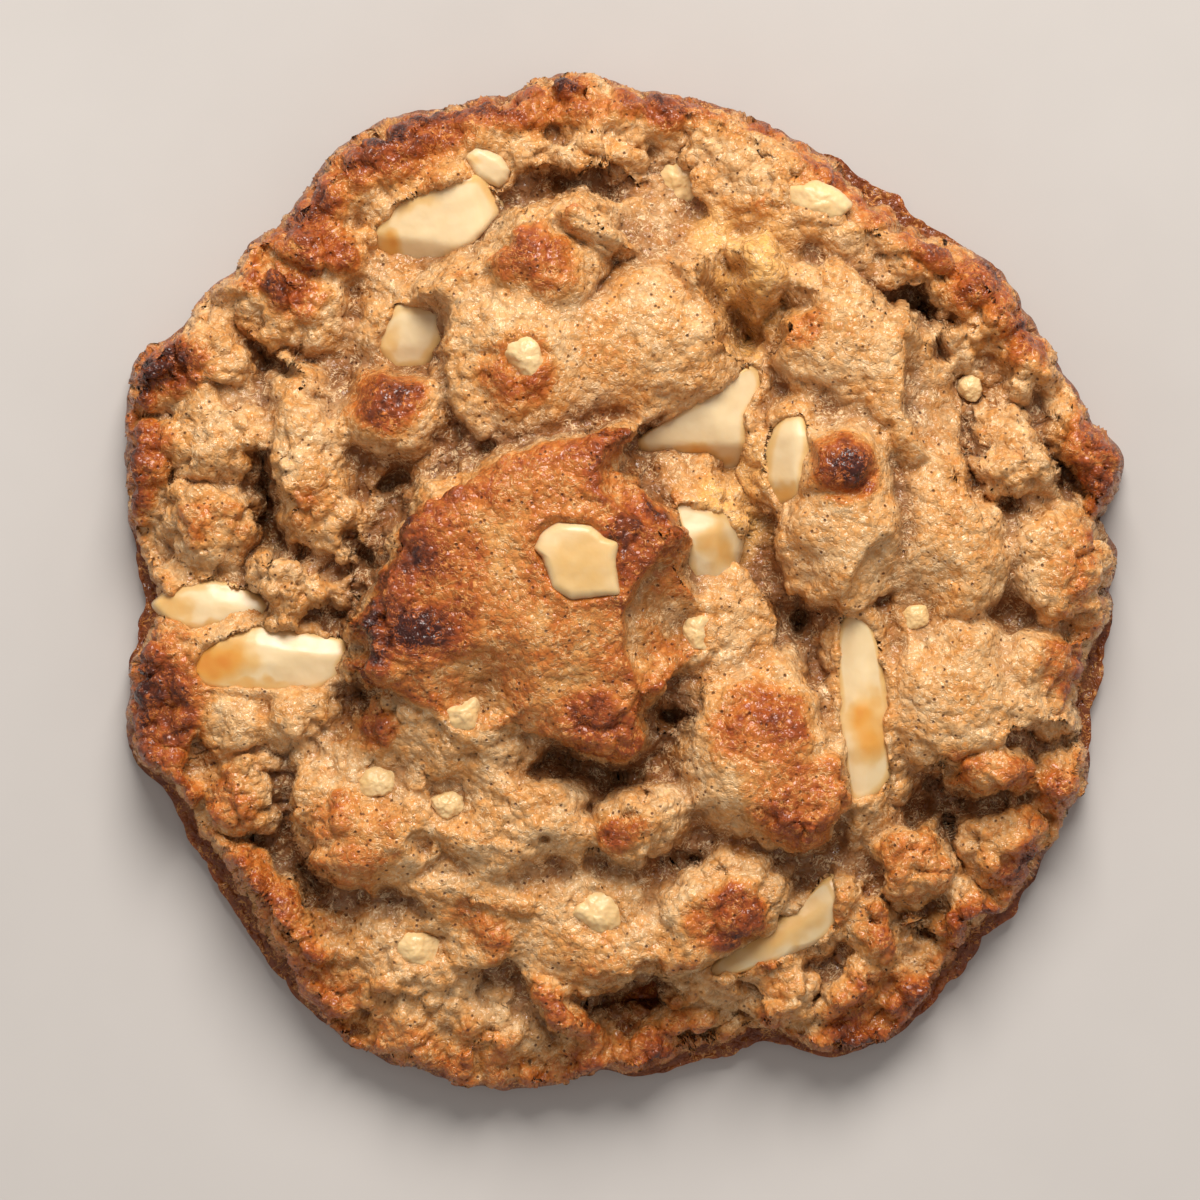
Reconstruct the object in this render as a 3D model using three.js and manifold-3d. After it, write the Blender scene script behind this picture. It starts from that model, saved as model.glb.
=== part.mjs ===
// A craggy white chocolate cookie: one body of baked dough on a thin dark foot, with chunks of
// white chocolate and pieces of nut set into its top. It rests on its flat underside, and the
// origin is the middle of that face. +X is to the right and +Y is away, seen from above.
import * as THREE from "three";
import { RoundedBoxGeometry } from "three/addons/geometries/RoundedBoxGeometry.js";
import { ImprovedNoise } from "three/addons/math/ImprovedNoise.js";
import { mergeVertices } from "three/addons/utils/BufferGeometryUtils.js";
import Module from "manifold-3d";

const wasm = await Module();
wasm.setup();

// Driving dimensions, in millimetres
const meanRadius = 50.6;
const footHeight = 2.2; // the dark crust that the dough spreads out on
const footBevel = 0.7;
const rimRise = 11.5; // how far the rim rises over the foot
const rimRound = 4.6; // how far in from the outline that rise is complete
const bedAtRim = 5.5; // floor of the crevices near the rim
const bedRise = 7.0; // the same floor is this much higher in the middle
const bareFoot = 2.4; // widest strip of foot that shows outside the dough
const crag = 0.55; // height of the small crags
const cragLength = 2.9;
const rimCrag = 0.55; // raggedness of the outline
const wander = 0.9; // how far the lumps' outlines stray from true ellipses
const wanderLength = 6.5;
const gap = 0.3; // clearance round each chunk and nut
const chunkRound = 1.1; // softened edges of a chunk
const chunkUneven = 0.09; // unevenness of a chunk, as a share of its size
const nutUneven = 0.13;

// Fineness of the solids
const cells = 54; // across the dough
const nutDetail = 1;

// The outline's radius every 15 degrees anticlockwise from +X, as a share of the mean radius
const rimShares = [
  0.985, 1.004, 0.976, 0.952, 0.945, 0.964, 0.992, 1.002, 1.034, 0.992, 1.012, 1.022,
  0.952, 1.010, 0.994, 1.028, 1.060, 1.040, 0.988, 0.982, 1.058, 1.016, 1.000, 0.984,
];

// Knobs and notches of the outline: direction and half width in degrees, height outwards
const rimKnobs = [
  [13, 4, 0.9], [37, 4, 0.8], [95, 4, 1.3], [156, 4, 1.8], [287, 4, -1.3], [324, 3, 0.8],
  [337, 3, 1.0], [268, 4, -0.8], [200, 4, 0.7], [7.5, 2.5, -1.2],
];

// Stretches where the foot shows outside the dough: direction and half width in degrees
const footStrips = [[178, 7], [217, 12], [284, 9], [313, 8], [348, 6], [55, 6]];

// Lumps of dough: x, y, half length, half width, turn in degrees, height of the top
const lumps = {
  crown: [
    [-7.5, -1.7, 15.5, 15, 0, 25.5], [-21, -5.2, 7.5, 5.5, 28, 21.5], [-0.5, 9.3, 6.5, 5, -20, 25.2],
    [-15, 5.3, 7, 5.5, 35, 23], [-2, -11.7, 6.5, 5.5, 0, 21], [-6, 5, 8, 5, 10, 26.2],
  ],
  upperSlab: [
    [0, 23.8, 12, 8.5, 0, 20], [-7, 31.8, 6, 5.5, 0, 22], [0, 35.5, 8, 3, -3, 20.5],
    [-10.3, 20.3, 4.5, 5.5, 0, 21.5], [-15, 28.3, 5.5, 7, -15, 18], [-22, 17.1, 7, 4.6, 8, 18],
    [-15, 13.3, 6.5, 3.8, 22, 16.5], [7, 31.8, 3.5, 4, 0, 18.5],
  ],
  rightDome: [[22.5, 6.8, 5.2, 10.2, 0, 21], [21.8, 11.3, 4, 4.5, 0, 22], [18, 3.8, 3.2, 6, 0, 17.5]],
  rightTop: [
    [23.5, 23.3, 8.5, 7, -25, 18.5], [28, 18.3, 5.5, 8, 10, 18], [20, 28.3, 3.5, 4, 0, 17.5],
    [17, 24.8, 3.2, 2.6, 15, 17], [14.5, 30.3, 3.5, 4.5, -30, 15.5], [32.5, 23.8, 2.8, 3.2, 0, 14.5],
  ],
  rightPlateau: [
    [32, 4.3, 6.5, 11, 8, 17.5], [43, 2.3, 6.5, 6.5, 0, 14.5], [42.5, -9.2, 6, 5, 10, 15.5],
    [33, -10.7, 8, 8.5, 0, 17], [36.5, -18.2, 4.5, 3.2, -30, 15.5], [39.2, 12.3, 3.8, 5, 20, 15.5],
    [46, 12.8, 4, 6.2, 15, 12], [36.5, 10.3, 2.2, 2.4, 0, 15],
  ],
  lowerShelf: [
    [12, -15.7, 9, 10, 15, 18], [7, -9.7, 5, 6, 0, 17.5], [18.5, -20.7, 5.5, 4.5, 25, 18.5],
    [9.5, -32.2, 8.5, 4.5, 35, 17], [2, -23.5, 4.5, 4, 0, 18.5], [-10, -23.7, 11, 6, -4, 16.5],
    [-24.5, -23.7, 8.5, 6.8, -15, 16], [-14, -33.7, 10, 6, -12, 14], [-1, -35.2, 9, 4.6, 3, 15],
    [-22, -15.2, 5.5, 3.6, -10, 15.5], [-12, -20.7, 10, 3, -6, 16.8],
  ],
  leftFingers: [
    [-31.2, 11.3, 4, 8, 8, 16], [-28, 4.8, 3.2, 4.2, 0, 15.5], [-32, -0.7, 4, 3.6, 0, 15],
    [-26.8, -0.9, 3.2, 4, 0, 15], [-24, 5.3, 2.6, 5, -10, 14.5], [-27.5, 15.3, 3, 3, 0, 15],
  ],
  leftRim: [
    [-45.2, 21.1, 4, 3.5, 10, 11], [-39.5, 14.3, 6.5, 5.5, 0, 12.5], [-39.5, 5.8, 5.5, 5, 0, 12.5],
    [-46.5, 11.8, 3.5, 6.5, -8, 10.5], [-32, 27.3, 6, 5.5, -40, 13], [-29.5, 33.8, 5, 4.2, -20, 13],
    [-37, 29.3, 3.5, 4, 0, 11.5], [-40, 22.3, 4.5, 5.5, -35, 12], [-32, 19.3, 3.5, 3, 0, 13],
  ],
  topRim: [
    [-24.5, 41.8, 9.5, 5, 38, 12.5], [-13, 45.3, 10, 4, 10, 11.5], [-5, 49.8, 3, 2.2, 0, 10.5],
    [-2, 45.3, 8, 4.2, 0, 11.5], [-1, 40.3, 7, 3.5, -8, 13.5], [8, 45.3, 7, 3.8, -10, 11.5],
    [18, 38.8, 9, 4.2, -28, 13.5], [16, 45.3, 7, 2.6, -18, 10], [28, 32.8, 9, 5, -40, 13],
    [35.5, 27.8, 6, 6, -35, 13], [40, 21.3, 4, 3.6, -40, 12], [-9, 41.3, 5, 3, 10, 13],
  ],
  leftLower: [
    [-44, -10.7, 5, 7, 8, 11.5], [-37.5, -14.2, 6, 5, -20, 12.5], [-32, -13.2, 4, 4.2, 0, 14],
    [-41.5, -5.7, 4.5, 2.2, -20, 12], [-36.5, -21.7, 4.5, 4.2, -35, 12.5], [-44.5, -18.7, 4, 4.5, 40, 10],
    [-25, -13.2, 3.5, 2.5, 0, 15],
  ],
  lowerLeft: [
    [-34.5, -32.2, 9.5, 2.8, -48, 10.5], [-28, -34.7, 6, 4, -45, 11], [-22, -40.2, 6, 3.6, -15, 10.5],
    [-29, -40.7, 4, 3, -40, 9], [-22, -45.2, 6.5, 4, -18, 8.5], [-13, -44.7, 5.5, 4.4, 0, 9.5],
    [-11, -49.2, 7, 2.4, -5, 6.5], [-4, -46.7, 4, 3.4, 0, 8], [2.5, -47.2, 4, 2.8, 0, 8.5],
    [7, -43.7, 6.5, 3, 12, 9], [-6.3, -41.5, 1.6, 4, 15, 12],
  ],
  lowerRight: [
    [28.5, -27.2, 4.6, 5.2, 10, 14], [38, -25.2, 5, 4.4, 25, 12], [44, -19.2, 4.2, 4.4, -30, 10.5],
    [34.5, -32.9, 3.8, 3.6, 30, 11], [24.5, -34.2, 4.6, 3.6, -20, 12.5], [16, -40.7, 4.5, 4.5, 20, 11.5],
    [23, -40.2, 5, 2.8, 40, 10.5], [22, -46.2, 5.5, 2.8, 12, 7.5], [28.5, -41.7, 4.5, 2.8, 45, 8],
  ],
};

// Hollows between and under the lumps: x, y, half length, half width, turn in degrees, depth
const hollows = [
  [-8, -17.2, 7, 2, -3, 6], [-7.5, 39.1, 6, 1.6, -5, 4], [-22.8, 10.1, 2.2, 2, 0, 6],
  [-34.8, 8.3, 1.4, 5, 8, 5], [1, -40.7, 8, 1.8, 4, 5], [5.5, -11.7, 1.6, 2.5, -30, 6],
  [39, -3.2, 2.2, 2, 0, 2.5], [24, -29.2, 2.5, 2, 30, 4], [28.5, -23.2, 4, 1.4, 20, 3],
  [35, 11.3, 1.3, 4.5, 15, 3], [44.5, 10.3, 1.3, 4, 30, 3], [26, 29.8, 6, 1.4, -35, 3.5],
  [19.5, -3.7, 3, 1.3, 20, 4], [-29, -3.7, 2.5, 1.3, 10, 4], [-21, -32.2, 4, 1.5, -25, 4],
  [13, 23.8, 1.6, 3, 20, 5],
];

// White chocolate: name, x, y, length, width, thickness, turn in degrees, height over the dough
const chunks = [
  ["chocolate_upper_left", -18.6, 34.7, 12, 6.8, 5, 27, 2.2],
  ["chocolate_rim_chip", -12.8, 42.1, 4, 3.4, 3, 20, 1.3],
  ["chocolate_under_slab", -21.3, 24.6, 7, 6, 4.5, -20, 1.8],
  ["chocolate_centre_top", 8, 15.8, 11, 7.5, 6, 25, 2.6],
  ["chocolate_right_smear", 16.5, 12.3, 4, 9, 4, -8, 1.6],
  ["chocolate_centre_right", 8.6, 2.8, 5.5, 9.5, 6, 15, 2.6],
  ["chocolate_crown", -4, 2, 7.5, 6.5, 4, -15, 0.9],
  ["chocolate_left_upper", -40.8, -1.8, 10, 4.4, 4, -12, 1.6],
  ["chocolate_left_lower", -33.2, -7.8, 11.5, 5, 4.5, 2, 1.8],
  ["chocolate_right_lower", 24, -12.2, 4.5, 18, 5, 3, 1.6],
  ["chocolate_lower_right", 15.5, -34.7, 13.5, 4.5, 4.5, 33, 1.8],
];

// Pieces of nut, in the same columns
const nuts = [
  ["nut_slab", -9.8, 22.2, 4.4, 5, 3.6, 0, 1.1],
  ["nut_top", 6.8, 40.6, 6.4, 5.6, 4.6, 15, 1.6],
  ["nut_upper_right", 19.4, 38.2, 7, 3.8, 3.6, -24, 1.1],
  ["nut_shelf", -3, -32.8, 6.2, 5.4, 4.4, 20, 1.6],
  ["nut_lower_left", -20.4, -36.4, 5.4, 3.8, 3.4, -20, 1.6],
  ["nut_crown_edge", -15.4, -12.4, 5, 4.4, 3.8, 10, 1.5],
  ["nut_crown_right", 7.4, -4.7, 3.4, 3.8, 3, 0, 1.2],
  ["nut_right", 28.9, -3.2, 2.8, 3.4, 2.4, 0, 1],
  ["nut_far_right", 34.5, 19.5, 2.4, 2.8, 2.2, 0, 1],
  ["nut_swirl", -24.4, -19.6, 4.2, 3.4, 3, 10, 1],
  ["nut_shelf_left", -17.5, -21.6, 3.6, 3.2, 2.8, 0, 1],
];

const noise = new ImprovedNoise();
const smoothstep = THREE.MathUtils.smoothstep;
const radians = THREE.MathUtils.degToRad;

// Turn apart from a direction, both in degrees, from -180 to 180.
function turnFrom(degrees, direction) {
  return ((degrees - direction + 540) % 360) - 180;
}

// A round swell of a given half width, 1 in the middle and 0 from twice that away.
function swell(distance, halfWidth) {
  return 1 - smoothstep(Math.abs(distance), 0, 2 * halfWidth);
}

// The outline: a smooth closed curve through the shares, with the knobs added.
function rimRadius(angle) {
  const count = rimShares.length;
  const degrees = (THREE.MathUtils.radToDeg(angle) + 360) % 360;
  const place = (degrees * count) / 360;
  const first = Math.floor(place);
  const share = (offset) => rimShares[(first + offset + count) % count];
  const [p0, p1, p2, p3] = [share(-1), share(0), share(1), share(2)];
  const t = place - first;
  const bend = (2 * p0 - 5 * p1 + 4 * p2 - p3) * t * t + (3 * p1 - p0 - 3 * p2 + p3) * t * t * t;
  let radius = meanRadius * 0.5 * (2 * p1 + (p2 - p0) * t + bend);
  for (const [direction, halfWidth, height] of rimKnobs) {
    radius += height * swell(turnFrom(degrees, direction), halfWidth);
  }
  const [x, y] = [Math.cos(angle) * meanRadius, Math.sin(angle) * meanRadius];
  return radius + rimCrag * noise.noise(x / cragLength, y / cragLength, 2.6);
}

// How wide the bare foot is outside the dough in a direction.
function footWidth(angle) {
  const degrees = THREE.MathUtils.radToDeg(angle);
  const bare = footStrips.map(([direction, halfWidth]) => swell(turnFrom(degrees, direction), halfWidth));
  return bareFoot * Math.max(...bare);
}

// Distance from an ellipse's centre, 1 on the ellipse.
function ellipseDistance([cx, cy, halfLength, halfWidth, turn], x, y) {
  const c = Math.cos(radians(turn));
  const s = Math.sin(radians(turn));
  const along = ((x - cx) * c + (y - cy) * s) / halfLength;
  const across = ((y - cy) * c - (x - cx) * s) / halfWidth;
  return Math.hypot(along, across);
}

// A lump falls from its top by a power of the distance: the larger it is, the flatter its top.
function lumpHeight(lump, x, y) {
  const reach = Math.min(lump[2], lump[3]);
  const drop = 3 + 0.45 * reach;
  return lump[5] - drop * ellipseDistance(lump, x, y) ** (2.4 + 0.07 * reach);
}

// The dough's upper surface: the highest of the lumps over a low bed, less the hollows, with small
// crags, held under a rounded rim that drops to the foot.
function doughHeight(x, y) {
  const angle = Math.atan2(y, x);
  const radius = rimRadius(angle);
  const fromCentre = Math.hypot(x, y);
  const strayX = x + wander * noise.noise(x / wanderLength, y / wanderLength, 1.3);
  const strayY = y + wander * noise.noise(x / wanderLength, y / wanderLength, 7.9);
  let height = bedAtRim + bedRise * (1 - (fromCentre / radius) ** 2);
  for (const lump of Object.values(lumps).flat()) {
    height = Math.max(height, lumpHeight(lump, strayX, strayY));
  }
  for (const hollow of hollows) {
    height -= hollow[5] * (1 - smoothstep(ellipseDistance(hollow, strayX, strayY), 0.3, 1.3));
  }
  height += crag * noise.noise(x / cragLength, y / cragLength, 4.4);
  const inset = radius - fromCentre - footWidth(angle);
  const rounding = 1 - THREE.MathUtils.clamp(inset / rimRound, 0, 1);
  const rise = rimRise * Math.sqrt(1 - rounding * rounding) + Math.max(0, inset - rimRound);
  return Math.max(footHeight, Math.min(height, footHeight + rise));
}

// The geometry's shape alone: only positions are kept, and shared corners are joined.
function bareShape(geometry) {
  const bare = geometry.clone();
  bare.deleteAttribute("normal");
  bare.deleteAttribute("uv");
  return mergeVertices(bare, 1e-4);
}

// A closed geometry as a solid, without the triangles that have no area.
function solidFrom(geometry) {
  const joined = bareShape(geometry);
  const corners = joined.index.array;
  const kept = [];
  for (let i = 0; i < corners.length; i += 3) {
    const [a, b, c] = corners.slice(i, i + 3);
    if (a !== b && b !== c && c !== a) kept.push(a, b, c);
  }
  const vertProperties = new Float32Array(joined.attributes.position.array);
  const mesh = new wasm.Mesh({ numProp: 3, vertProperties, triVerts: new Uint32Array(kept) });
  return new wasm.Manifold(mesh);
}

// The solid as a geometry again, with flat-shaded normals.
function geometryFrom(solid) {
  const mesh = solid.getMesh();
  const geometry = new THREE.BufferGeometry();
  geometry.setAttribute("position", new THREE.BufferAttribute(mesh.vertProperties, 3));
  geometry.setIndex(new THREE.BufferAttribute(mesh.triVerts, 1));
  geometry.computeVertexNormals();
  return geometry;
}

// Moves each vertex of a geometry by a function of its place.
function reshape(geometry, place) {
  const position = geometry.attributes.position;
  const point = new THREE.Vector3();
  for (let i = 0; i < position.count; i++) {
    place(point.fromBufferAttribute(position, i));
    position.setXYZ(i, point.x, point.y, point.z);
  }
  geometry.computeVertexNormals();
  return geometry;
}

// A copy that stands out from the shape by the gap all round.
function grown(geometry) {
  const copy = bareShape(geometry);
  copy.computeVertexNormals();
  const { position, normal } = copy.attributes;
  for (let i = 0; i < position.count; i++) {
    const out = new THREE.Vector3().fromBufferAttribute(normal, i).multiplyScalar(gap);
    out.add(new THREE.Vector3().fromBufferAttribute(position, i));
    position.setXYZ(i, out.x, out.y, out.z);
  }
  return copy;
}

// A square of half width 1 laid out as a disc of radius 1: each square ring becomes a circle.
function squareToDisc(a, b) {
  if (a === 0 && b === 0) return [0, 0];
  const wide = Math.abs(a) > Math.abs(b);
  const radius = wide ? a : b;
  const angle = (Math.PI / 4) * (wide ? b / a : 2 - a / b);
  return [radius * Math.cos(angle), radius * Math.sin(angle)];
}

// The dough: a flat block of square cells, laid out as a disc, spread to the outline and raised,
// then trimmed flat underneath.
function doughSolid() {
  const block = new THREE.BoxGeometry(2, 2, 2, cells, cells, 1);
  reshape(block, (point) => {
    const [u, v] = squareToDisc(point.x, point.y);
    const radius = rimRadius(Math.atan2(v, u));
    const spread = point.z > 0 ? radius : radius - 2 * footBevel;
    const height = point.z > 0 ? doughHeight(u * spread, v * spread) : -footHeight;
    point.set(u * spread, v * spread, height);
  });
  const board = new THREE.BoxGeometry(4 * meanRadius, 4 * meanRadius, 2 * meanRadius);
  return solidFrom(block).subtract(solidFrom(board.translate(0, 0, -meanRadius)));
}

// A broken chunk of chocolate: a block with softened edges and uneven faces.
function chunkGeometry(length, width, thickness, seed) {
  const block = new RoundedBoxGeometry(length, width, thickness, 1, chunkRound);
  return reshape(block, (point) => {
    const [u, v] = [point.x / length, point.y / width];
    const swing = noise.noise(u * 2.1, v * 2.1, seed);
    const skew = noise.noise(v * 1.7, u * 1.7, seed + 3.7);
    point.x += length * chunkUneven * (swing + v * skew * 4);
    point.y += width * chunkUneven * (skew - u * swing * 4);
    point.z *= 1 + chunkUneven * 2 * (u + swing);
  });
}

// A piece of nut: a ball drawn out to its size, lumpy and flattened here and there.
function nutGeometry(length, width, thickness, seed) {
  const ball = mergeVertices(new THREE.IcosahedronGeometry(0.5, nutDetail).deleteAttribute("uv"));
  return reshape(ball, (point) => {
    const swing = noise.noise(point.x * 3 + seed, point.y * 3, point.z * 3);
    point.multiplyScalar(1 + nutUneven * 2 * swing);
    point.multiply(new THREE.Vector3(length, width, thickness));
  });
}

const materials = {
  dough: { color: 0xc98f58, roughness: 0.75, metalness: 0 },
  chocolate: { color: 0xf3deb2, roughness: 0.4, metalness: 0 },
  nut: { color: 0xe3c193, roughness: 0.6, metalness: 0 },
};

const cookie = new THREE.Group();
let dough = doughSolid();

// Each chunk or nut sits in a pocket of the dough, its top a set height over the dough round it.
function setInto(dough, [name, x, y, length, width, thickness, turn, proud], shape, material, seed) {
  const geometry = shape(length, width, thickness, seed);
  const mesh = new THREE.Mesh(geometry, new THREE.MeshStandardMaterial(material));
  mesh.name = name;
  mesh.position.set(x, y, doughHeight(x, y) + proud - thickness / 2);
  mesh.rotation.z = radians(turn);
  mesh.updateMatrix();
  cookie.add(mesh);
  return dough.subtract(solidFrom(grown(geometry).applyMatrix4(mesh.matrix)));
}

chunks.forEach((row, i) => {
  dough = setInto(dough, row, chunkGeometry, materials.chocolate, 1.7 * i + 0.4);
});
nuts.forEach((row, i) => {
  dough = setInto(dough, row, nutGeometry, materials.nut, 2.3 * i + 0.8);
});

const doughMesh = new THREE.Mesh(geometryFrom(dough), new THREE.MeshStandardMaterial(materials.dough));
doughMesh.name = "dough";
cookie.add(doughMesh);

// The middle of the underside is the origin.
const box = new THREE.Box3().setFromObject(cookie);
const middle = box.getCenter(new THREE.Vector3());
cookie.position.set(-middle.x, -middle.y, -box.min.z);

export default cookie;
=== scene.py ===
import math

import bpy
import numpy as np
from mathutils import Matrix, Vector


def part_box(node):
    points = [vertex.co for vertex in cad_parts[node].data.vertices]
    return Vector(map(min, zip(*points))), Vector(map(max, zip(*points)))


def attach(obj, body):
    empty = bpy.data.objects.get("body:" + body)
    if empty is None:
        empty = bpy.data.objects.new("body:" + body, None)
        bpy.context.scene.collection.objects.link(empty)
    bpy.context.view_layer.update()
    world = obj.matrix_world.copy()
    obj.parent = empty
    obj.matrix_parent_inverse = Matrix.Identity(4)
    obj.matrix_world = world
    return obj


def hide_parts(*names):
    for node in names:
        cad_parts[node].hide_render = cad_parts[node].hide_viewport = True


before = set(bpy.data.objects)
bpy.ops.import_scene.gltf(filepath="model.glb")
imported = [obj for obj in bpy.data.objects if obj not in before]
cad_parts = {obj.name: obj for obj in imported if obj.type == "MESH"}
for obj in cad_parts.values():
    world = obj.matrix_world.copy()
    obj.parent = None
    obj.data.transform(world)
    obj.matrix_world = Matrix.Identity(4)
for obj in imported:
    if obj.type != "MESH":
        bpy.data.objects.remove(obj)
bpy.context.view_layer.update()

mm = 0.001  # shapes are worked out in millimetres and put into the meshes in metres
print("frame loaded:", len(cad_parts), "solids")


# Noise on whole arrays

# a scrambled whole number for each point of a lattice
def scramble(ix, iy, iz, seed):
    h = ix.astype(np.uint32) * np.uint32(374761393)
    h ^= iy.astype(np.uint32) * np.uint32(668265263)
    h ^= iz.astype(np.uint32) * np.uint32(2246822519)
    h ^= np.uint32(seed * 97561 + 12345)
    h = (h ^ (h >> np.uint32(15))) * np.uint32(2654435761)
    h = (h ^ (h >> np.uint32(13))) * np.uint32(1274126177)
    return h ^ (h >> np.uint32(16))


# three numbers from -1 to 1 out of one scrambled number
def threeNumbers(h):
    part = np.uint32(1023)
    return [((h >> np.uint32(k)) & part).astype(np.float64) / 511.5 - 1 for k in (0, 10, 20)]


# gradient noise: slopes at the lattice points, blended by a fifth-power fade; about -1 to 1
def wave(x, y, z, seed):
    fx, fy, fz = np.floor(x), np.floor(y), np.floor(z)
    ix, iy, iz = fx.astype(np.int64), fy.astype(np.int64), fz.astype(np.int64)
    tx, ty, tz = x - fx, y - fy, z - fz
    u, v, w = [t * t * t * (t * (t * 6 - 15) + 10) for t in (tx, ty, tz)]
    total = np.zeros_like(tx)
    for cx in (0, 1):
        for cy in (0, 1):
            for cz in (0, 1):
                gx, gy, gz = threeNumbers(scramble(ix + cx, iy + cy, iz + cz, seed))
                share = (u if cx else 1 - u) * (v if cy else 1 - v) * (w if cz else 1 - w)
                total += share * (gx * (tx - cx) + gy * (ty - cy) + gz * (tz - cz))
    return total * 1.3


# several waves, each half as long and half as high as the last
def waves(x, y, z, length, octaves, seed):
    total = np.zeros(np.shape(x))
    for k in range(octaves):
        s = 2.0 ** k / length
        total += wave(x * s, y * s, z * s, seed + 7 * k) / 2 ** k
    return total


# distance to the nearest of one random point per cell, in cells, and that point's own number 0 to 1
def cells(x, y, z, size, seed):
    x, y, z = x / size, y / size, z / size
    ix, iy, iz = [np.floor(t).astype(np.int64) for t in (x, y, z)]
    nearest, own = np.full(np.shape(x), 9.0), np.zeros(np.shape(x))
    for cx in (-1, 0, 1):
        for cy in (-1, 0, 1):
            for cz in (-1, 0, 1):
                h = scramble(ix + cx, iy + cy, iz + cz, seed)
                px, py, pz = threeNumbers(h)
                d = ((ix + cx + 0.5 + 0.45 * px - x) ** 2 + (iy + cy + 0.5 + 0.45 * py - y) ** 2
                     + (iz + cz + 0.5 + 0.45 * pz - z) ** 2)
                closer = d < nearest
                nearest = np.where(closer, d, nearest)
                own = np.where(closer, (h >> np.uint32(8)) / 16777216.0, own)
    return np.sqrt(nearest), own


granuleBall = 0.82  # radius of a granule, in cells
granuleMean = 0.75  # about the granules' mean height, taken off so that they swell as much as they sink


# granules: half a ball round each cell's point, 1 on top, lowest where three of them meet
def granules(x, y, z, size, seed):
    nearest, _ = cells(x, y, z, size, seed)
    return np.sqrt(1 - np.clip(nearest / granuleBall, 0, 1) ** 2)


# 0 up to low, 1 from high, an S-curve between
def smoothstep(t, low, high):
    t = np.clip((t - low) / (high - low), 0, 1)
    return t * t * (3 - 2 * t)


def cosSin(degrees):
    return math.cos(math.radians(degrees)), math.sin(math.radians(degrees))


# Dough: outline and lumps

dough = {
    "meanRadius": 50.6, "footHeight": 2.2, "bareFoot": 1.6,
    "rimRise": 11.5, "rimRound": 4.6, "rimPower": 2.2, "bedAtRim": 5.5, "bedRise": 7.0,
    "wander": (2.2, 10.0), "fineWander": (0.75, 3.6),  # sideways shift of lumps and of edges: far, length
    "rimCrag": 0.9, "rimKnob": 0.45, "crag": 0.5, "cragLength": 6.0,
    "softness": 1.6, "seam": 1.4,  # how lumps of one group run together, sharper where the first is higher
    "meeting": 2.6, "crease": 2.4, "creaseWidth": 0.9, "fillLength": 4.0, "fillDepth": 2.8,
    "mapStep": 0.15, "mapHalf": 56.0, "clumpSize": 5.0, "clump": 0.6, "steepest": 5.0, "slopePasses": 16,
    # the outline's radius every 15 degrees anticlockwise from +X, as a share of the mean radius
    "rimShares": (0.985, 1.004, 0.976, 0.952, 0.945, 0.964, 0.992, 1.002, 1.034, 0.992, 1.012, 1.022,
                  0.952, 1.010, 0.994, 1.028, 1.060, 1.040, 0.988, 0.982, 1.058, 1.016, 1.000, 0.984),
    # knobs and notches: direction and half width in degrees, height
    "rimKnobs": ((13, 4, 0.9), (37, 4, 0.8), (95, 4, 1.3), (156, 4, 1.8), (287, 4, -1.3), (324, 3, 0.8),
                 (337, 3, 1.0), (268, 4, -0.8), (200, 4, 0.7), (7.5, 2.5, -1.2)),
    # where the foot shows: direction and half width in degrees
    "footStrips": ((182, 5), (217, 12), (284, 9), (313, 8), (348, 6), (55, 6)),
}

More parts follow.
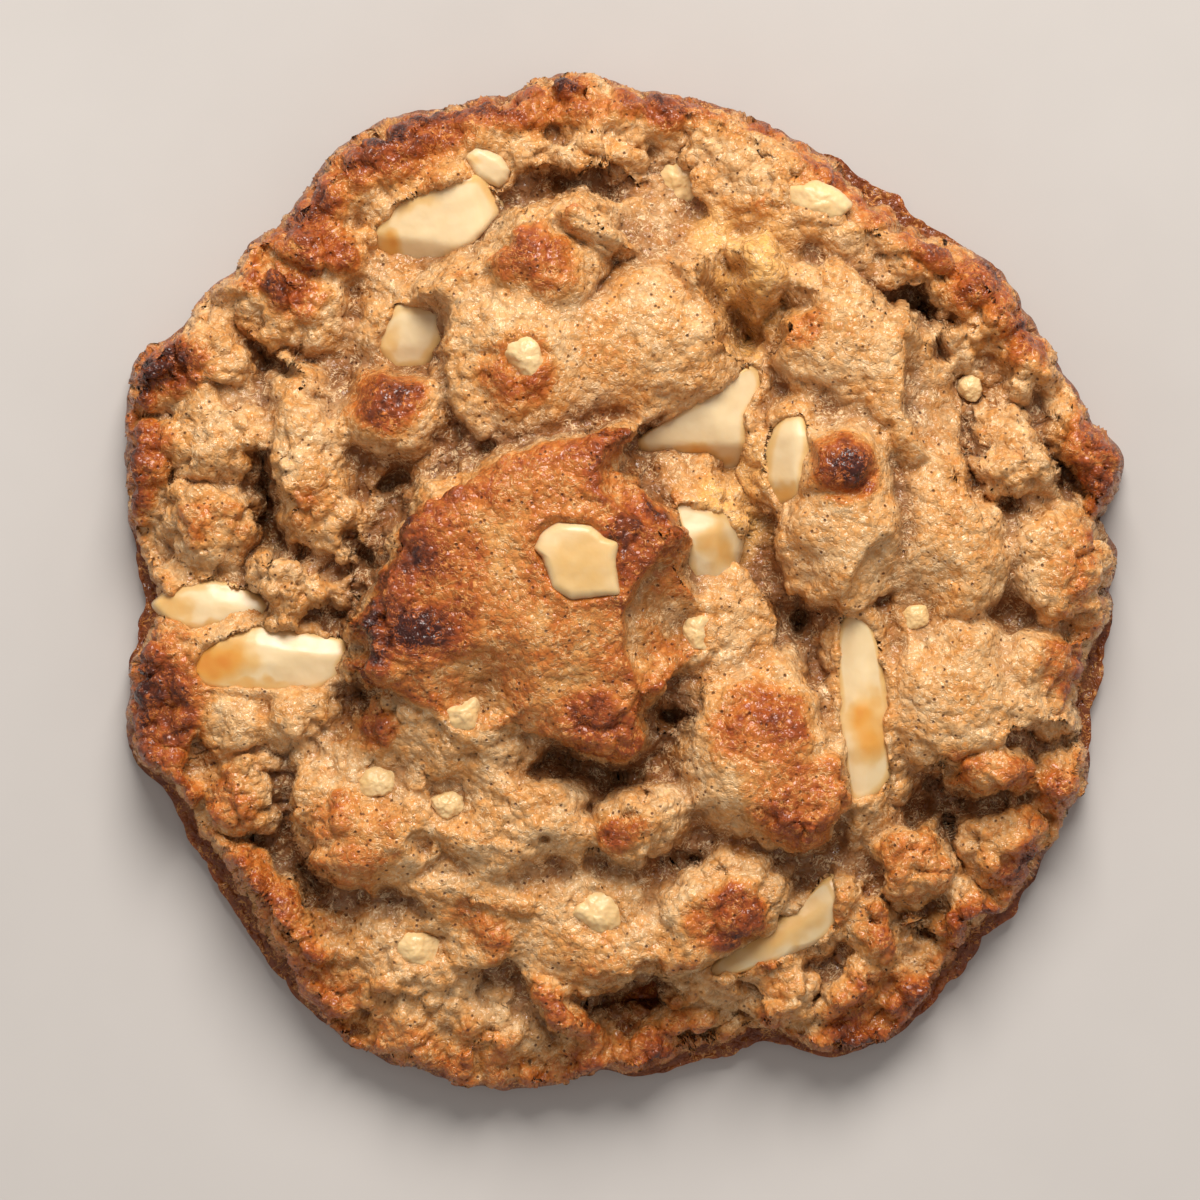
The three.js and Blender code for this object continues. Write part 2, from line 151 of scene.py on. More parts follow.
# lumps in groups: x, y, half length, half width, turn in degrees, height of the top
lumps = {
    "crown": (
        (-7.5, -1.7, 12, 11, 0, 25.5), (-20.5, -4.8, 6.5, 5, 28, 23.2), (-0.5, 9.3, 6.5, 5, -20, 25.2),
        (-15, 5.3, 7, 5.5, 35, 23), (-2, -11.7, 6.5, 5.5, 0, 21), (-6, 5, 8, 5, 10, 26.2)),
    "upperSlab": (
        (0, 23.8, 12, 8.5, 0, 20), (-7, 31.8, 6, 5.5, 0, 22), (0, 35.5, 8, 3, -3, 20.5),
        (-10.3, 20.3, 4.5, 5.5, 0, 21.5), (-15, 28.3, 5.5, 7, -15, 18), (-22, 17.1, 7, 4.6, 8, 18),
        (-15, 13.3, 6.5, 3.8, 22, 16.5), (7, 31.8, 3.5, 4, 0, 18.5)),
    "rightDome": ((22.5, 6.8, 5.2, 10.2, 0, 21), (21.8, 11.3, 4, 4.5, 0, 22), (18, 3.8, 3.2, 6, 0, 17.5)),
    "rightTop": (
        (23.5, 23.3, 8.5, 7, -25, 18.5), (28, 18.3, 5.5, 8, 10, 18), (20, 28.3, 3.5, 4, 0, 17.5),
        (17.6, 24.8, 3.2, 2.6, 15, 18), (14.4, 30, 3.2, 3.8, -20, 17.5), (32.5, 23.8, 2.8, 3.2, 0, 14.5)),
    "rightPlateau": (
        (32, 4.3, 6.5, 11, 8, 17.5), (43, 2.3, 6.5, 6.5, 0, 14.5), (42.5, -9.2, 6, 5, 10, 15.5),
        (33, -10.7, 8, 8.5, 0, 17), (36.5, -18.2, 4.5, 3.2, -30, 15.5), (39.2, 12.3, 3.8, 5, 20, 15.5),
        (46, 12.8, 4, 6.2, 15, 12), (36.5, 10.3, 2.2, 2.4, 0, 15)),
    "lowerShelf": (
        (12, -15.7, 9, 10, 15, 20), (7, -9.7, 5, 6, 0, 19.5), (18.5, -20.7, 5.5, 4.5, 25, 19.5),
        (9.5, -32.2, 8.5, 4.5, 35, 17), (2, -23.5, 4.5, 4, 0, 19.8), (-10, -23.7, 11, 6, -4, 18.5),
        (-24.5, -23.7, 8.5, 6.8, -15, 17), (-14, -31.4, 10, 7.4, -12, 15), (-1, -35.2, 9, 4.6, 3, 15),
        (-22, -15.2, 5.5, 3.6, -10, 17), (-12, -20.7, 10, 3, -6, 18.8)),
    "leftFingers": (
        (-31.2, 11.3, 4, 8, 8, 16), (-28, 4.8, 3.2, 4.2, 0, 15.5), (-32, -0.7, 4, 3.6, 0, 15),
        (-26.8, -0.9, 3.2, 4, 0, 15), (-24, 5.3, 2.6, 5, -10, 14.5), (-27.5, 15.3, 3, 3, 0, 15)),
    "leftRim": (
        (-45.2, 21.1, 4, 3.5, 10, 11), (-39.5, 14.3, 6.5, 5.5, 0, 12.5), (-39.5, 5.8, 5.5, 5, 0, 12.5),
        (-46.5, 11.8, 3.5, 6.5, -8, 10.5), (-32, 27.3, 6, 5.5, -40, 13), (-29.5, 33.8, 5, 4.2, -20, 13),
        (-37, 29.3, 3.5, 4, 0, 11.5), (-40, 22.3, 4.5, 5.5, -35, 12), (-32, 19.3, 3.5, 3, 0, 13)),
    "topRim": (
        (-24.5, 41.8, 9.5, 5, 38, 12.5), (-13, 45.3, 10, 4, 10, 11.5), (-5, 49.8, 3, 2.2, 0, 10.5),
        (-2, 45.3, 8, 4.2, 0, 11.5), (-1, 40.3, 7, 3.5, -8, 13.5), (8, 45.3, 7, 3.8, -10, 11.5),
        (18, 38.8, 9, 4.2, -28, 13.5), (16, 45.3, 7, 2.6, -18, 10), (28, 32.8, 9, 5, -40, 13),
        (35.5, 27.8, 6, 6, -35, 13), (40, 21.3, 4, 3.6, -40, 12), (-9, 41.3, 5, 3, 10, 13)),
    "leftLower": (
        (-44, -10.7, 5, 7, 8, 11.5), (-37.5, -14.2, 6, 5, -20, 12.5), (-32, -13.2, 4, 4.2, 0, 14),
        (-41.5, -5.7, 4.5, 2.2, -20, 12), (-36.5, -21.7, 4.5, 4.2, -35, 12.5),
        (-44.5, -18.7, 4, 4.5, 40, 10), (-25, -13.2, 3.5, 2.5, 0, 15)),
    "lowerLeft": (
        (-34.5, -32.2, 9.5, 2.8, -48, 12), (-28, -34.7, 6, 4, -45, 10), (-22, -40.2, 6, 3.6, -15, 10.5),
        (-29, -40.7, 4, 3, -40, 9), (-22, -45.2, 6.5, 4, -18, 8.5), (-13, -44.7, 5.5, 4.4, 0, 9.5),
        (-11, -49.2, 7, 2.4, -5, 6.5), (-4, -46.7, 4, 3.4, 0, 8), (2.5, -47.2, 4, 2.8, 0, 8.5),
        (7, -43.7, 6.5, 3, 12, 9)),
    "lowerRight": (
        (28.5, -27.2, 4.6, 5.2, 10, 14), (38, -25.2, 5, 4.4, 25, 12), (44, -19.2, 4.2, 4.4, -30, 10.5),
        (34.5, -32.9, 3.8, 3.6, 30, 11), (24.5, -34.2, 4.6, 3.6, -20, 12.5),
        (16, -40.7, 4.5, 4.5, 20, 11.5), (23, -40.2, 5, 2.8, 40, 10.5), (22, -46.2, 5.5, 2.8, 12, 7.5),
        (28.5, -41.7, 4.5, 2.8, 45, 8)),
}

# edges where one side has dropped away: drop, how far the drop runs out, then points x, y along the edge
# with the high side on the left
ledges = {
    "slabTop": (4.5, 3.0, 9, 36.1, 6.5, 37.8, 3, 38.3, -2, 38.3, -6, 38.3, -7.5, 37.7, -10, 37.6,
                -13, 36.5, -15, 34.7),
    "slabFlap": (1.6, 2.5, -7.2, 36.8, -4.8, 34.9, -2, 32.3, 0.2, 31.9, 2, 33.1, 4, 34.5, 8, 36.1),
    "slabRight": (6.0, 2.2, 1, 14.3, 2.5, 15.5, 4.5, 17, 8, 18.3, 10.8, 19.8, 11.8, 21.5,
                  12.2, 23.1, 11, 24.8, 9.5, 27.3, 8, 29.3, 8.5, 32.1, 9.2, 34.3),
    "crownTop": (2.2, 2.5, 4.8, 11.3, 3.5, 13.1, 2, 14.2, -1.5, 14.6, -6, 13.8, -9.5, 13.1,
                 -12.5, 11.8, -15.5, 9.6, -18, 8.6),
    "crownRight": (6.0, 3.0, 3.5, -10.7, 6, -8.2, 8.5, -5.7, 8.8, -3.9, 7.5, -2.2, 7, -0.7,
                   7.8, 1.8, 7.4, 4.5, 6.4, 6.8, 5.4, 9.1, 4.8, 11.3),
    "crownBottom": (5.0, 2.4, -27.5, -7.9, -25.5, -9.7, -22, -10.7, -18.5, -12.7, -15, -13.9,
                    -12, -14.1, -8, -15.2, -5, -16.2, -2, -17.4, 0.5, -17.7, 2, -16.2, 2.8, -13.2,
                    3.5, -10.7),
    "crownLeft": (5.5, 2.6, -18, 8.6, -19.5, 7.6, -21, 5.8, -22.3, 3.3, -23.2, 0.8, -24.8, -2.5,
                  -26.8, -4.9, -27.8, -6.7, -27.5, -7.9),
    "fingerLeft": (5.0, 1.6, -35.8, 14.3, -35.5, 11.3, -34.8, 8.3, -33.8, 5.3, -32.7, 3.1),
    "fingerRight": (3.0, 1.2, -25.7, 7.1, -26.2, 4.8, -24.5, 2.3, -23.5, 0.8),
    "rimLeft": (3.0, 2.0, -38.2, 28.3, -37.3, 25.3, -35.8, 23.1, -33.5, 21.8, -30.8, 20.1),
    "seamLeft": (1.2, 1.0, -28.5, -8.5, -32, -9.9, -35.8, -10.4, -39.5, -10.1, -42, -9.9),
    "shelfLeft": (4.5, 2.5, -32, -18.7, -32.6, -21.7, -32.3, -25.2, -31.5, -27.7, -29, -29.6,
                  -25, -31, -22, -32.2, -19, -32.9),
    "roll": (2.2, 2.0, -40.5, -26.7, -38, -29.7, -35.5, -32.7, -33, -35.5, -29, -37.9, -25.5, -39.5),
    "lipLeft": (3.5, 2.0, -18, -37.9, -15, -38.5, -12, -37.9, -9.2, -37.2),
    "lip": (6.0, 3.0, -7.5, -37.5, -4.5, -38.9, -1, -39.7, 3, -40.1, 6, -39.2, 8, -37.7,
            10.2, -37.5, 11.7, -35.7),
    "shelfRight": (6.0, 2.6, 11.7, -35.7, 14.5, -34.2, 18, -32.7, 19.6, -31.2, 20.6, -29,
                   22.6, -26.7, 23, -24.9, 22, -23.5),
    "plateauLip": (4.0, 2.5, 26, -19.9, 28.5, -19.5, 30.5, -18.7, 32.5, -20.7, 35, -21.8, 37, -21.2,
                   38.8, -19.7, 40, -18.3),
    "plateauEnd": (4.0, 2.5, 38, -16.2, 39.2, -15, 42, -13.9, 44.2, -13.3, 45.8, -14.3, 47.2, -12.9),
    "nugget": (2.5, 1.2, 33.6, 15.1, 35, 11.5, 36.4, 8.7, 38.3, 8.1, 40.8, 7.8),
    "rimRight": (2.5, 1.6, 47.2, 7.1, 44.6, 9.8, 42.8, 12.8, 40.8, 15.8),
    "rightTopEdge": (5.5, 2.2, 34.2, 24.5, 33.5, 25.7, 31, 26.3, 29.2, 26.9, 28, 28, 25.8, 28.6,
                     24, 29.5, 23.1, 30.8, 22.5, 32, 20.2, 32.3, 18.6, 31.3),
    "rightTopSide": (4.5, 2.0, 32, 20.5, 31.1, 22.1, 31.4, 23.8, 31.8, 25.3),
    "rightTopLeft": (4.5, 1.8, 19.8, 26.7, 17.5, 27, 16, 25.7, 15.5, 23.8, 16.5, 22),
    "betweenShelf": (3.5, 1.8, 24.2, -21.7, 25.2, -23.9, 23.5, -26.7, 23.8, -29.7, 26, -31.2),
    "betweenLumps": (3.0, 1.8, 26.5, -31, 28.5, -33.2, 28.8, -34.7, 31, -34.1, 33.5, -36.2),
    "lowerCrack": (2.5, 1.4, 17.5, -42.9, 19.2, -41.2, 20.8, -38.9, 21.2, -37.2),
    "rightCrack": (2.0, 1.2, 33, -21.7, 33.7, -25.2, 34, -28.7),
    "rightUnder": (2.5, 1.8, 34, -28.9, 36.5, -30.2, 39, -29.7),
    "rimTop": (2.5, 2.5, -12, 41.1, -8, 40.9, -2, 41.1, 1.5, 42),
    "nutUnder": (3.0, 2.5, 10.2, 38.3, 12.2, 38.7, 14.5, 37.7, 17.5, 36.9, 18.5, 35.7, 21.5, 35.5,
                 23, 36.5),
    "blockUnder": (2.0, 1.5, -43.5, 2.3, -42.5, 0.3, -38.5, -0.4, -35.8, -0.7),
    "domeBottom": (4.5, 2.0, 17.5, -0.2, 18.5, -2.2, 21, -3.5, 23.5, -2.7, 26, -1.7, 27.5, -0.7),
    "domeRight": (0.8, 1.5, 27.5, -0.7, 27.7, 4.3, 27, 10.3, 26, 15.3, 23, 17.3),
    "wrinkle": (1.0, 0.8, -27.5, -13.9, -24, -15.2, -22, -15.7),
    "shelfFold": (1.2, 2.0, -18, -32.2, -14, -32.2, -10, -32.9, -6, -33.2),
}

# the crown: middle, height there, slopes along x and y, the shoulder that rounds it off towards the line of
# its edges, and how far its browning strays over that line
crown = {
    "middle": (-8, -2), "top": 24.6, "slopes": (0.05, 0.16), "shoulder": 3.6, "round": 5.0, "power": 2.5,
    "fall": 4.0,
    "stray": 0.8, "edges": ("crownBottom", "crownRight", "crownTop", "crownLeft"),
}

# a flake that stands up in the dough: x, y, half length, half width, turn in degrees, top; the share of its
# ellipse that is level, and the fall for each ellipse beyond
flake = (-6.3, -41.8, 4.4, 1.7, -48, 13.2)
flakeLevel, flakeFall = 0.7, 8

# hollows: x, y, half length, half width, turn in degrees, depth
hollows = (
    (-10.5, -16, 3.4, 1.3, -15, 5), (-7.5, 39.1, 6, 1.6, -5, 4), (-22.8, 9.8, 2.2, 0.9, 50, 3.2),
    (-34.8, 8.3, 1.0, 4.4, 8, 4), (1, -40.7, 8, 1.8, 4, 5), (5.5, -11.7, 1.6, 2.5, -30, 6),
    (39, -3.2, 2.2, 2, 0, 2.5), (24, -29.2, 2.5, 2, 30, 4), (28.5, -23.2, 4, 1.4, 20, 3),
    (35, 11.3, 1.3, 4.5, 15, 3), (44.5, 10.3, 1.3, 4, 30, 3), (26, 29.8, 6, 1.4, -35, 4.5),
    (31.5, 24.5, 1.1, 4, 25, 3.5), (34.3, 17, 0.9, 3.5, 10, 3), (10, 8.6, 2.6, 2.2, 0, 3.5),
    (19.5, -3.7, 3, 1.3, 20, 4), (-29, -3.7, 2.5, 1.3, 10, 4), (-21, -32.2, 4, 1.5, -25, 4),
    (12.8, 24.5, 1.3, 3.6, 20, 4), (-21.8, 7.5, 1, 1.4, 0, 2), (14.3, 14.3, 0.8, 0.8, 0, 2),
    (12.5, -0.7, 1.2, 1.8, 20, 3.5), (6, -10.2, 1.2, 2, -20, 4), (5, -13.9, 0.8, 1, 0, 3),
    (2.5, -20.7, 1, 0.5, 0, 2), (-3, -22.2, 0.6, 1.2, 0, 2), (7, -27.5, 1.2, 0.7, 0, 3),
    (-2, -28.2, 1.6, 0.8, -10, 2.5), (-7.5, -25.2, 0.8, 0.4, 0, 1.5), (-19.7, -25.7, 1, 1.2, 0, 2),
    (26, -30, 0.8, 0.6, 0, 3), (-9, -38.7, 1.2, 1, 0, 4),
)

# browned spots: x, y, half length, half width, turn in degrees, how brown
toastSpots = (
    (-44.5, 20.8, 4.5, 3.4, 0, 0.72), (-48, 12.3, 3, 7, 0, 0.54), (-33, 29.3, 4.5, 4.5, 0, 0.74),
    (-29.5, 33.5, 4, 3, 0, 0.6), (-22, 43.3, 9, 4.5, 28, 0.7), (-32, 36.8, 5, 4, 45, 0.56),
    (-17, 47.3, 8, 3, 15, 0.58), (-7.5, 47.3, 7, 3, 0, 0.46), (-4.5, 50.1, 2.5, 1.8, 0, 0.7),
    (4, 47.8, 6, 2.5, 0, 0.46), (16, 45.3, 4.5, 2, -20, 0.68), (34, 32.3, 11, 4.5, -45, 0.44),
    (41, 25.3, 3, 5, -30, 0.5), (24, 39.3, 8, 3, -30, 0.38), (46.5, 12.3, 3.4, 6, 10, 0.5),
    (44.5, -7.7, 4, 5, 0, 0.42), (41, -20.7, 5, 4, -40, 0.42), (39, -28.7, 5, 2.5, 40, 0.52),
    (34.5, -33.2, 4, 3.5, 0, 0.42), (26, -42.7, 9, 4.5, 25, 0.56), (7, -46.7, 8, 3, 5, 0.52),
    (-29, -40.7, 9, 5, -40, 0.38), (-14, -46.7, 9, 4, -5, 0.4), (-45.5, -12.7, 5, 7, 5, 0.62),
    (-41, -19.7, 4, 5, 30, 0.46), (-23.5, 17.8, 5.5, 3.8, 10, 0.66), (-8, 30.8, 4.5, 4.5, 0, 0.56),
    (-10, 20.6, 4.4, 4.8, 0, 0.58), (22, 10.8, 3.6, 3.4, 0, 0.84), (17.5, -21.2, 5.5, 5.5, 30, 0.62),
    (14, -14.7, 5, 5, 0, 0.58), (2, 24, 9, 7, 0, 0.2), (43, 3, 5, 5, 0, 0.26),
    (10.5, -33.2, 4.5, 3.5, 30, 0.72), (0.5, -24.7, 3, 2.6, 0, 0.58), (-30, 7.8, 3, 3, 0, 0.36),
    (-14, -34.7, 6, 3.5, -12, 0.46), (-25.5, -14, 4, 3, 0, 0.5), (34, -18.7, 3.5, 2.5, 0, 0.34),
    (18, 25.3, 3, 3, 0, 0.34), (-35, -29.7, 7, 3, -48, 0.54), (28.5, -27, 4, 4, 0, 0.34),
    (24, -34, 4, 3, 0, 0.36), (-26, -24, 6, 5, 0, 0.34), (16, -38, 4, 4, 0, 0.36),
    (13, 37.5, 5, 2, -10, 0.3), (-40, 6, 4, 4, 0, 0.26), (-6.3, -41.8, 4, 1.6, -48, 0.4),
    (-8, -45, 34, 9, 0, 0.3), (-34, -30, 18, 8, -48, 0.3), (30, -34, 16, 8, 45, 0.26),
    (-10, -36, 12, 5, -5, 0.26),
)

# the crown's own browning, which ends at its edge: the same, over a level of its own
crownToast = 0.48
crownSpots = (
    (-19, 1.5, 8, 8, 20, 0.74), (-20, -3.8, 8.5, 6.5, 20, 0.84), (-19.8, -4.6, 5, 4, 20, 1.05),
    (2.5, 4, 6.5, 7, -30, 0.68), (0.7, 4.3, 3, 3.4, 0, 0.86), (-2.5, -12.9, 5, 4, 0, 0.7),
    (-10, -9, 8, 5, 0, 0.54), (-8, 6, 6, 5, 0, 0.54),
)

# stretches with a smooth skin: x, y, half length, half width, turn in degrees, strength
smoothSpots = (
    (-7.5, -0.5, 17, 14.5, 0, 1), (0, 24, 11, 8.5, 0, 0.8), (-7, 31, 6, 5, 0, 0.7),
    (22.5, 6.8, 6, 11, 0, 1), (31, 3, 6, 13, 10, 0.8), (33, -8, 8, 8, 0, 0.7), (42, -9, 6, 6, 0, 0.8),
    (13, -15, 9, 9, 0, 0.7), (24, 22, 8, 7, -20, 0.6), (42, 3, 7, 5, 0, 0.6), (-22, 17, 7, 5, 0, 0.7),
    (-26, 41, 10, 6, 40, 0.6), (-40, -11, 9, 6, 0, 0.6), (-25, -25, 8, 6, 0, 0.5),
    (-30, -33, 11, 4, -48, 0.6), (-1, -35, 9, 4, 0, 0.5),
)

# wet, glossy stretches of melted sugar: x, y, half length, half width, turn in degrees, strength
wetSpots = (
    (13.5, 30.5, 5, 7, 0, 0.9), (10, 8.8, 3.4, 3, 0, 0.9), (12.5, 5.3, 2, 4, 0, 0.8),
    (12.5, 23.5, 2, 3, 0, 0.9), (9, 35, 3, 3, 0, 0.7), (13, 12, 2.5, 4, 0, 0.6),
)

# stretches of loose crumb: x, y, half length, half width, turn in degrees, strength
crumbSpots = (
    (-39, 10, 7, 9, 0, 0.8), (-32, -0.7, 7, 6, 0, 0.7), (-32, -20, 8, 8, 0, 0.5),
    (-18, -45.7, 16, 7, 0, 0.8), (8, -45, 12, 5, 0, 0.6), (25, -38, 10, 10, 0, 0.7),
    (33, -30, 8, 8, 0, 0.6), (36.5, 10, 5, 5, 0, 0.6), (11, 8, 5, 6, 0, 0.6), (8, -12, 5, 9, 0, 0.4),
    (-31, -40, 10, 6, 0, 0.6), (3, 41, 8, 5, 0, 0.4), (28, 28, 6, 5, 0, 0.4),
)


# turn between two directions in degrees, from -180 to 180
def turnFrom(degrees, direction):
    return (degrees - direction + 540) % 360 - 180


# 1 in the middle of a swell, 0 from twice its half width away
def swell(distance, halfWidth):
    return 1 - smoothstep(np.abs(distance), 0, 2 * halfWidth)


# closed Catmull-Rom curve through the shares, plus the knobs and a ragged edge
def rimRadius(angle):
    shares = np.array(dough["rimShares"])
    count = len(shares)
    degrees = np.degrees(angle) % 360
    place = degrees * count / 360
    first = np.floor(place).astype(int)
    t = place - first
    p0, p1, p2, p3 = [shares[(first + k) % count] for k in (-1, 0, 1, 2)]
    share = 0.5 * (2 * p1 + (p2 - p0) * t + (2 * p0 - 5 * p1 + 4 * p2 - p3) * t ** 2
                   + (3 * p1 - p0 - 3 * p2 + p3) * t ** 3)
    radius = dough["meanRadius"] * share
    for direction, halfWidth, height in dough["rimKnobs"]:
        radius = radius + height * swell(turnFrom(degrees, direction), halfWidth)
    x, y = dough["meanRadius"] * np.cos(angle), dough["meanRadius"] * np.sin(angle)
    knobs = dough["rimKnob"] * (granules(x, y, 0 * x, 3.2, 43) - granuleMean)
    knobs += 0.5 * dough["rimKnob"] * (granules(x, y, 0 * x, 1.6, 44) - granuleMean)
    return radius + dough["rimCrag"] * waves(x, y, 0 * x, 5.0, 2, 41) + knobs


# how wide the bare foot shows in a direction: the widest of its strips, each a swell
def footWidth(angle):
    degrees = np.degrees(angle)
    bare = [swell(turnFrom(degrees, direction), half) for direction, half in dough["footStrips"]]
    return dough["bareFoot"] * np.max(bare, axis=0)


# height the rounded rim allows: from the foot it rises as a power of the distance in from the outline
def rimCeiling(x, y):
    angle = np.arctan2(y, x)
    inset = rimRadius(angle) - np.hypot(x, y) - footWidth(angle)
    outward = 1 - np.clip(inset / dough["rimRound"], 0, 1)
    rise = dough["rimRise"] * (1 - outward ** dough["rimPower"])
    return dough["footHeight"] + rise + np.maximum(inset - dough["rimRound"], 0)


# distance from an ellipse's centre, 1 on the ellipse
def ellipseDistance(row, x, y):
    c, s = cosSin(row[4])
    along = ((x - row[0]) * c + (y - row[1]) * s) / row[2]
    across = ((y - row[1]) * c - (x - row[0]) * s) / row[3]
    return np.hypot(along, across)


# the strongest of the soft spots at each place, each fading out from inner to outer
def spots(rows, x, y, inner=0.35, outer=1.25):
    total = np.zeros_like(x)
    for row in rows:
        total = np.maximum(total, row[5] * (1 - smoothstep(ellipseDistance(row, x, y), inner, outer)))
    return total


# a lump's drop at its ellipse and the power it falls by, each as a start and a growth with its half width
lumpForm = {"drop": (2.6, 0.36), "power": (2.6, 0.08), "farthest": 4, "seamWidth": 0.7}


# height = top less a drop times a power of the elliptic distance; lumps of a group run together softly,
# with a seam where two are equally high
def groupHeight(rows, x, y, seam):
    k = dough["softness"]
    total, best, second = [np.full(x.shape, -60.0) for _ in range(3)]
    for row in rows:
        reach = min(row[2], row[3])
        drop, power = [start + growth * reach for start, growth in (lumpForm["drop"], lumpForm["power"])]
        height = row[5] - drop * np.minimum(ellipseDistance(row, x, y), lumpForm["farthest"]) ** power
        total = np.logaddexp(total, np.maximum(k * height, -60))
        second = np.maximum(second, np.minimum(best, height))
        best = np.maximum(best, height)
    return total / k - seam * np.exp(-((best - second) / lumpForm["seamWidth"]) ** 2)


# a soft maximum of two heights
def softMax(a, b, k):
    return np.logaddexp(k * a, k * b) / k


# lip as a share of the drop, its width and the length of the tapered ends in millimetres
ledgeForm = {"power": 1.3, "sheer": (-0.2, 0.4), "lip": 0.14, "lipWidth": 1.2, "taper": 2.5}


# a drop along a line of points: sheer at the line, running out on the low side, with a slight lip on the
# high side and nothing left at the two ends
def cutLedge(height, strayX, strayY, row):
    depth, width = row[:2]
    line = np.array(row[2:], float).reshape(-1, 2)
    margin = 3 * width + 2
    low, high = line.min(0) - margin, line.max(0) + margin
    j0, i0 = ((low + dough["mapHalf"]) / dough["mapStep"]).astype(int).clip(0)
    j1, i1 = ((high + dough["mapHalf"]) / dough["mapStep"]).astype(int)
    px, py = strayX[i0:i1, j0:j1], strayY[i0:i1, j0:j1]
    steps = np.diff(line, axis=0)
    lengths = np.hypot(*steps.T)
    nearest = np.full(px.shape, 1e9)
    side, run = np.zeros(px.shape), np.zeros(px.shape)
    for (ax, ay), (dx, dy), length, before in zip(line, steps, lengths, np.cumsum(lengths) - lengths):
        t = np.clip(((px - ax) * dx + (py - ay) * dy) / length ** 2, 0, 1)
        away = np.hypot(px - ax - t * dx, py - ay - t * dy)
        closer = away < nearest
        nearest = np.where(closer, away, nearest)
        side = np.where(closer, dx * (py - ay) - dy * (px - ax), side)
        run = np.where(closer, before + t * length, run)
    taper = smoothstep(run, 0, ledgeForm["taper"]) * smoothstep(lengths.sum() - run, 0, ledgeForm["taper"])
    sheer = smoothstep(-side / (nearest + 0.01), *ledgeForm["sheer"])
    fall = -np.exp(-(nearest / width) ** ledgeForm["power"]) * sheer
    lip = ledgeForm["lip"] * np.exp(-nearest / ledgeForm["lipWidth"])
    height[i0:i1, j0:j1] += depth * taper * np.where(side > 0, lip, fall)


# blur of a square map by a Gaussian, through its spectrum
def blur(values, length):
    n, step = values.shape[0], dough["mapStep"]
    rate = np.fft.fftfreq(n, step)[:, None] ** 2 + np.fft.rfftfreq(n, step)[None] ** 2
    fade = np.exp(-2 * (math.pi * length) ** 2 * rate)
    return np.fft.irfft2(np.fft.rfft2(values) * fade, values.shape)


# no slope above a limit: the mean of a map that only loses height and one that only gains it
def limitSlope(values, slope):
    lowered, raised = values.copy(), values.copy()
    step = slope * dough["mapStep"]
    for _ in range(dough["slopePasses"]):
        for shift, axis in ((1, 0), (-1, 0), (1, 1), (-1, 1)):
            lowered = np.minimum(lowered, np.roll(lowered, shift, axis) + step)
            raised = np.maximum(raised, np.roll(raised, shift, axis) - step)
    return (lowered + raised) / 2


# value of a map at any place, by the four cells round it
def sample(values, x, y):
    u = np.clip((x + dough["mapHalf"]) / dough["mapStep"], 0, values.shape[1] - 1.001)
    v = np.clip((y + dough["mapHalf"]) / dough["mapStep"], 0, values.shape[0] - 1.001)
    i, j = np.floor(v).astype(int), np.floor(u).astype(int)
    fu, fv = u - j, v - i
    low = values[i, j] * (1 - fu) + values[i, j + 1] * fu
    high = values[i + 1, j] * (1 - fu) + values[i + 1, j + 1] * fu
    return low * (1 - fv) + high * fv


# Chunks and nuts: chunks by the outline that shows, nuts by the sizes of their solids

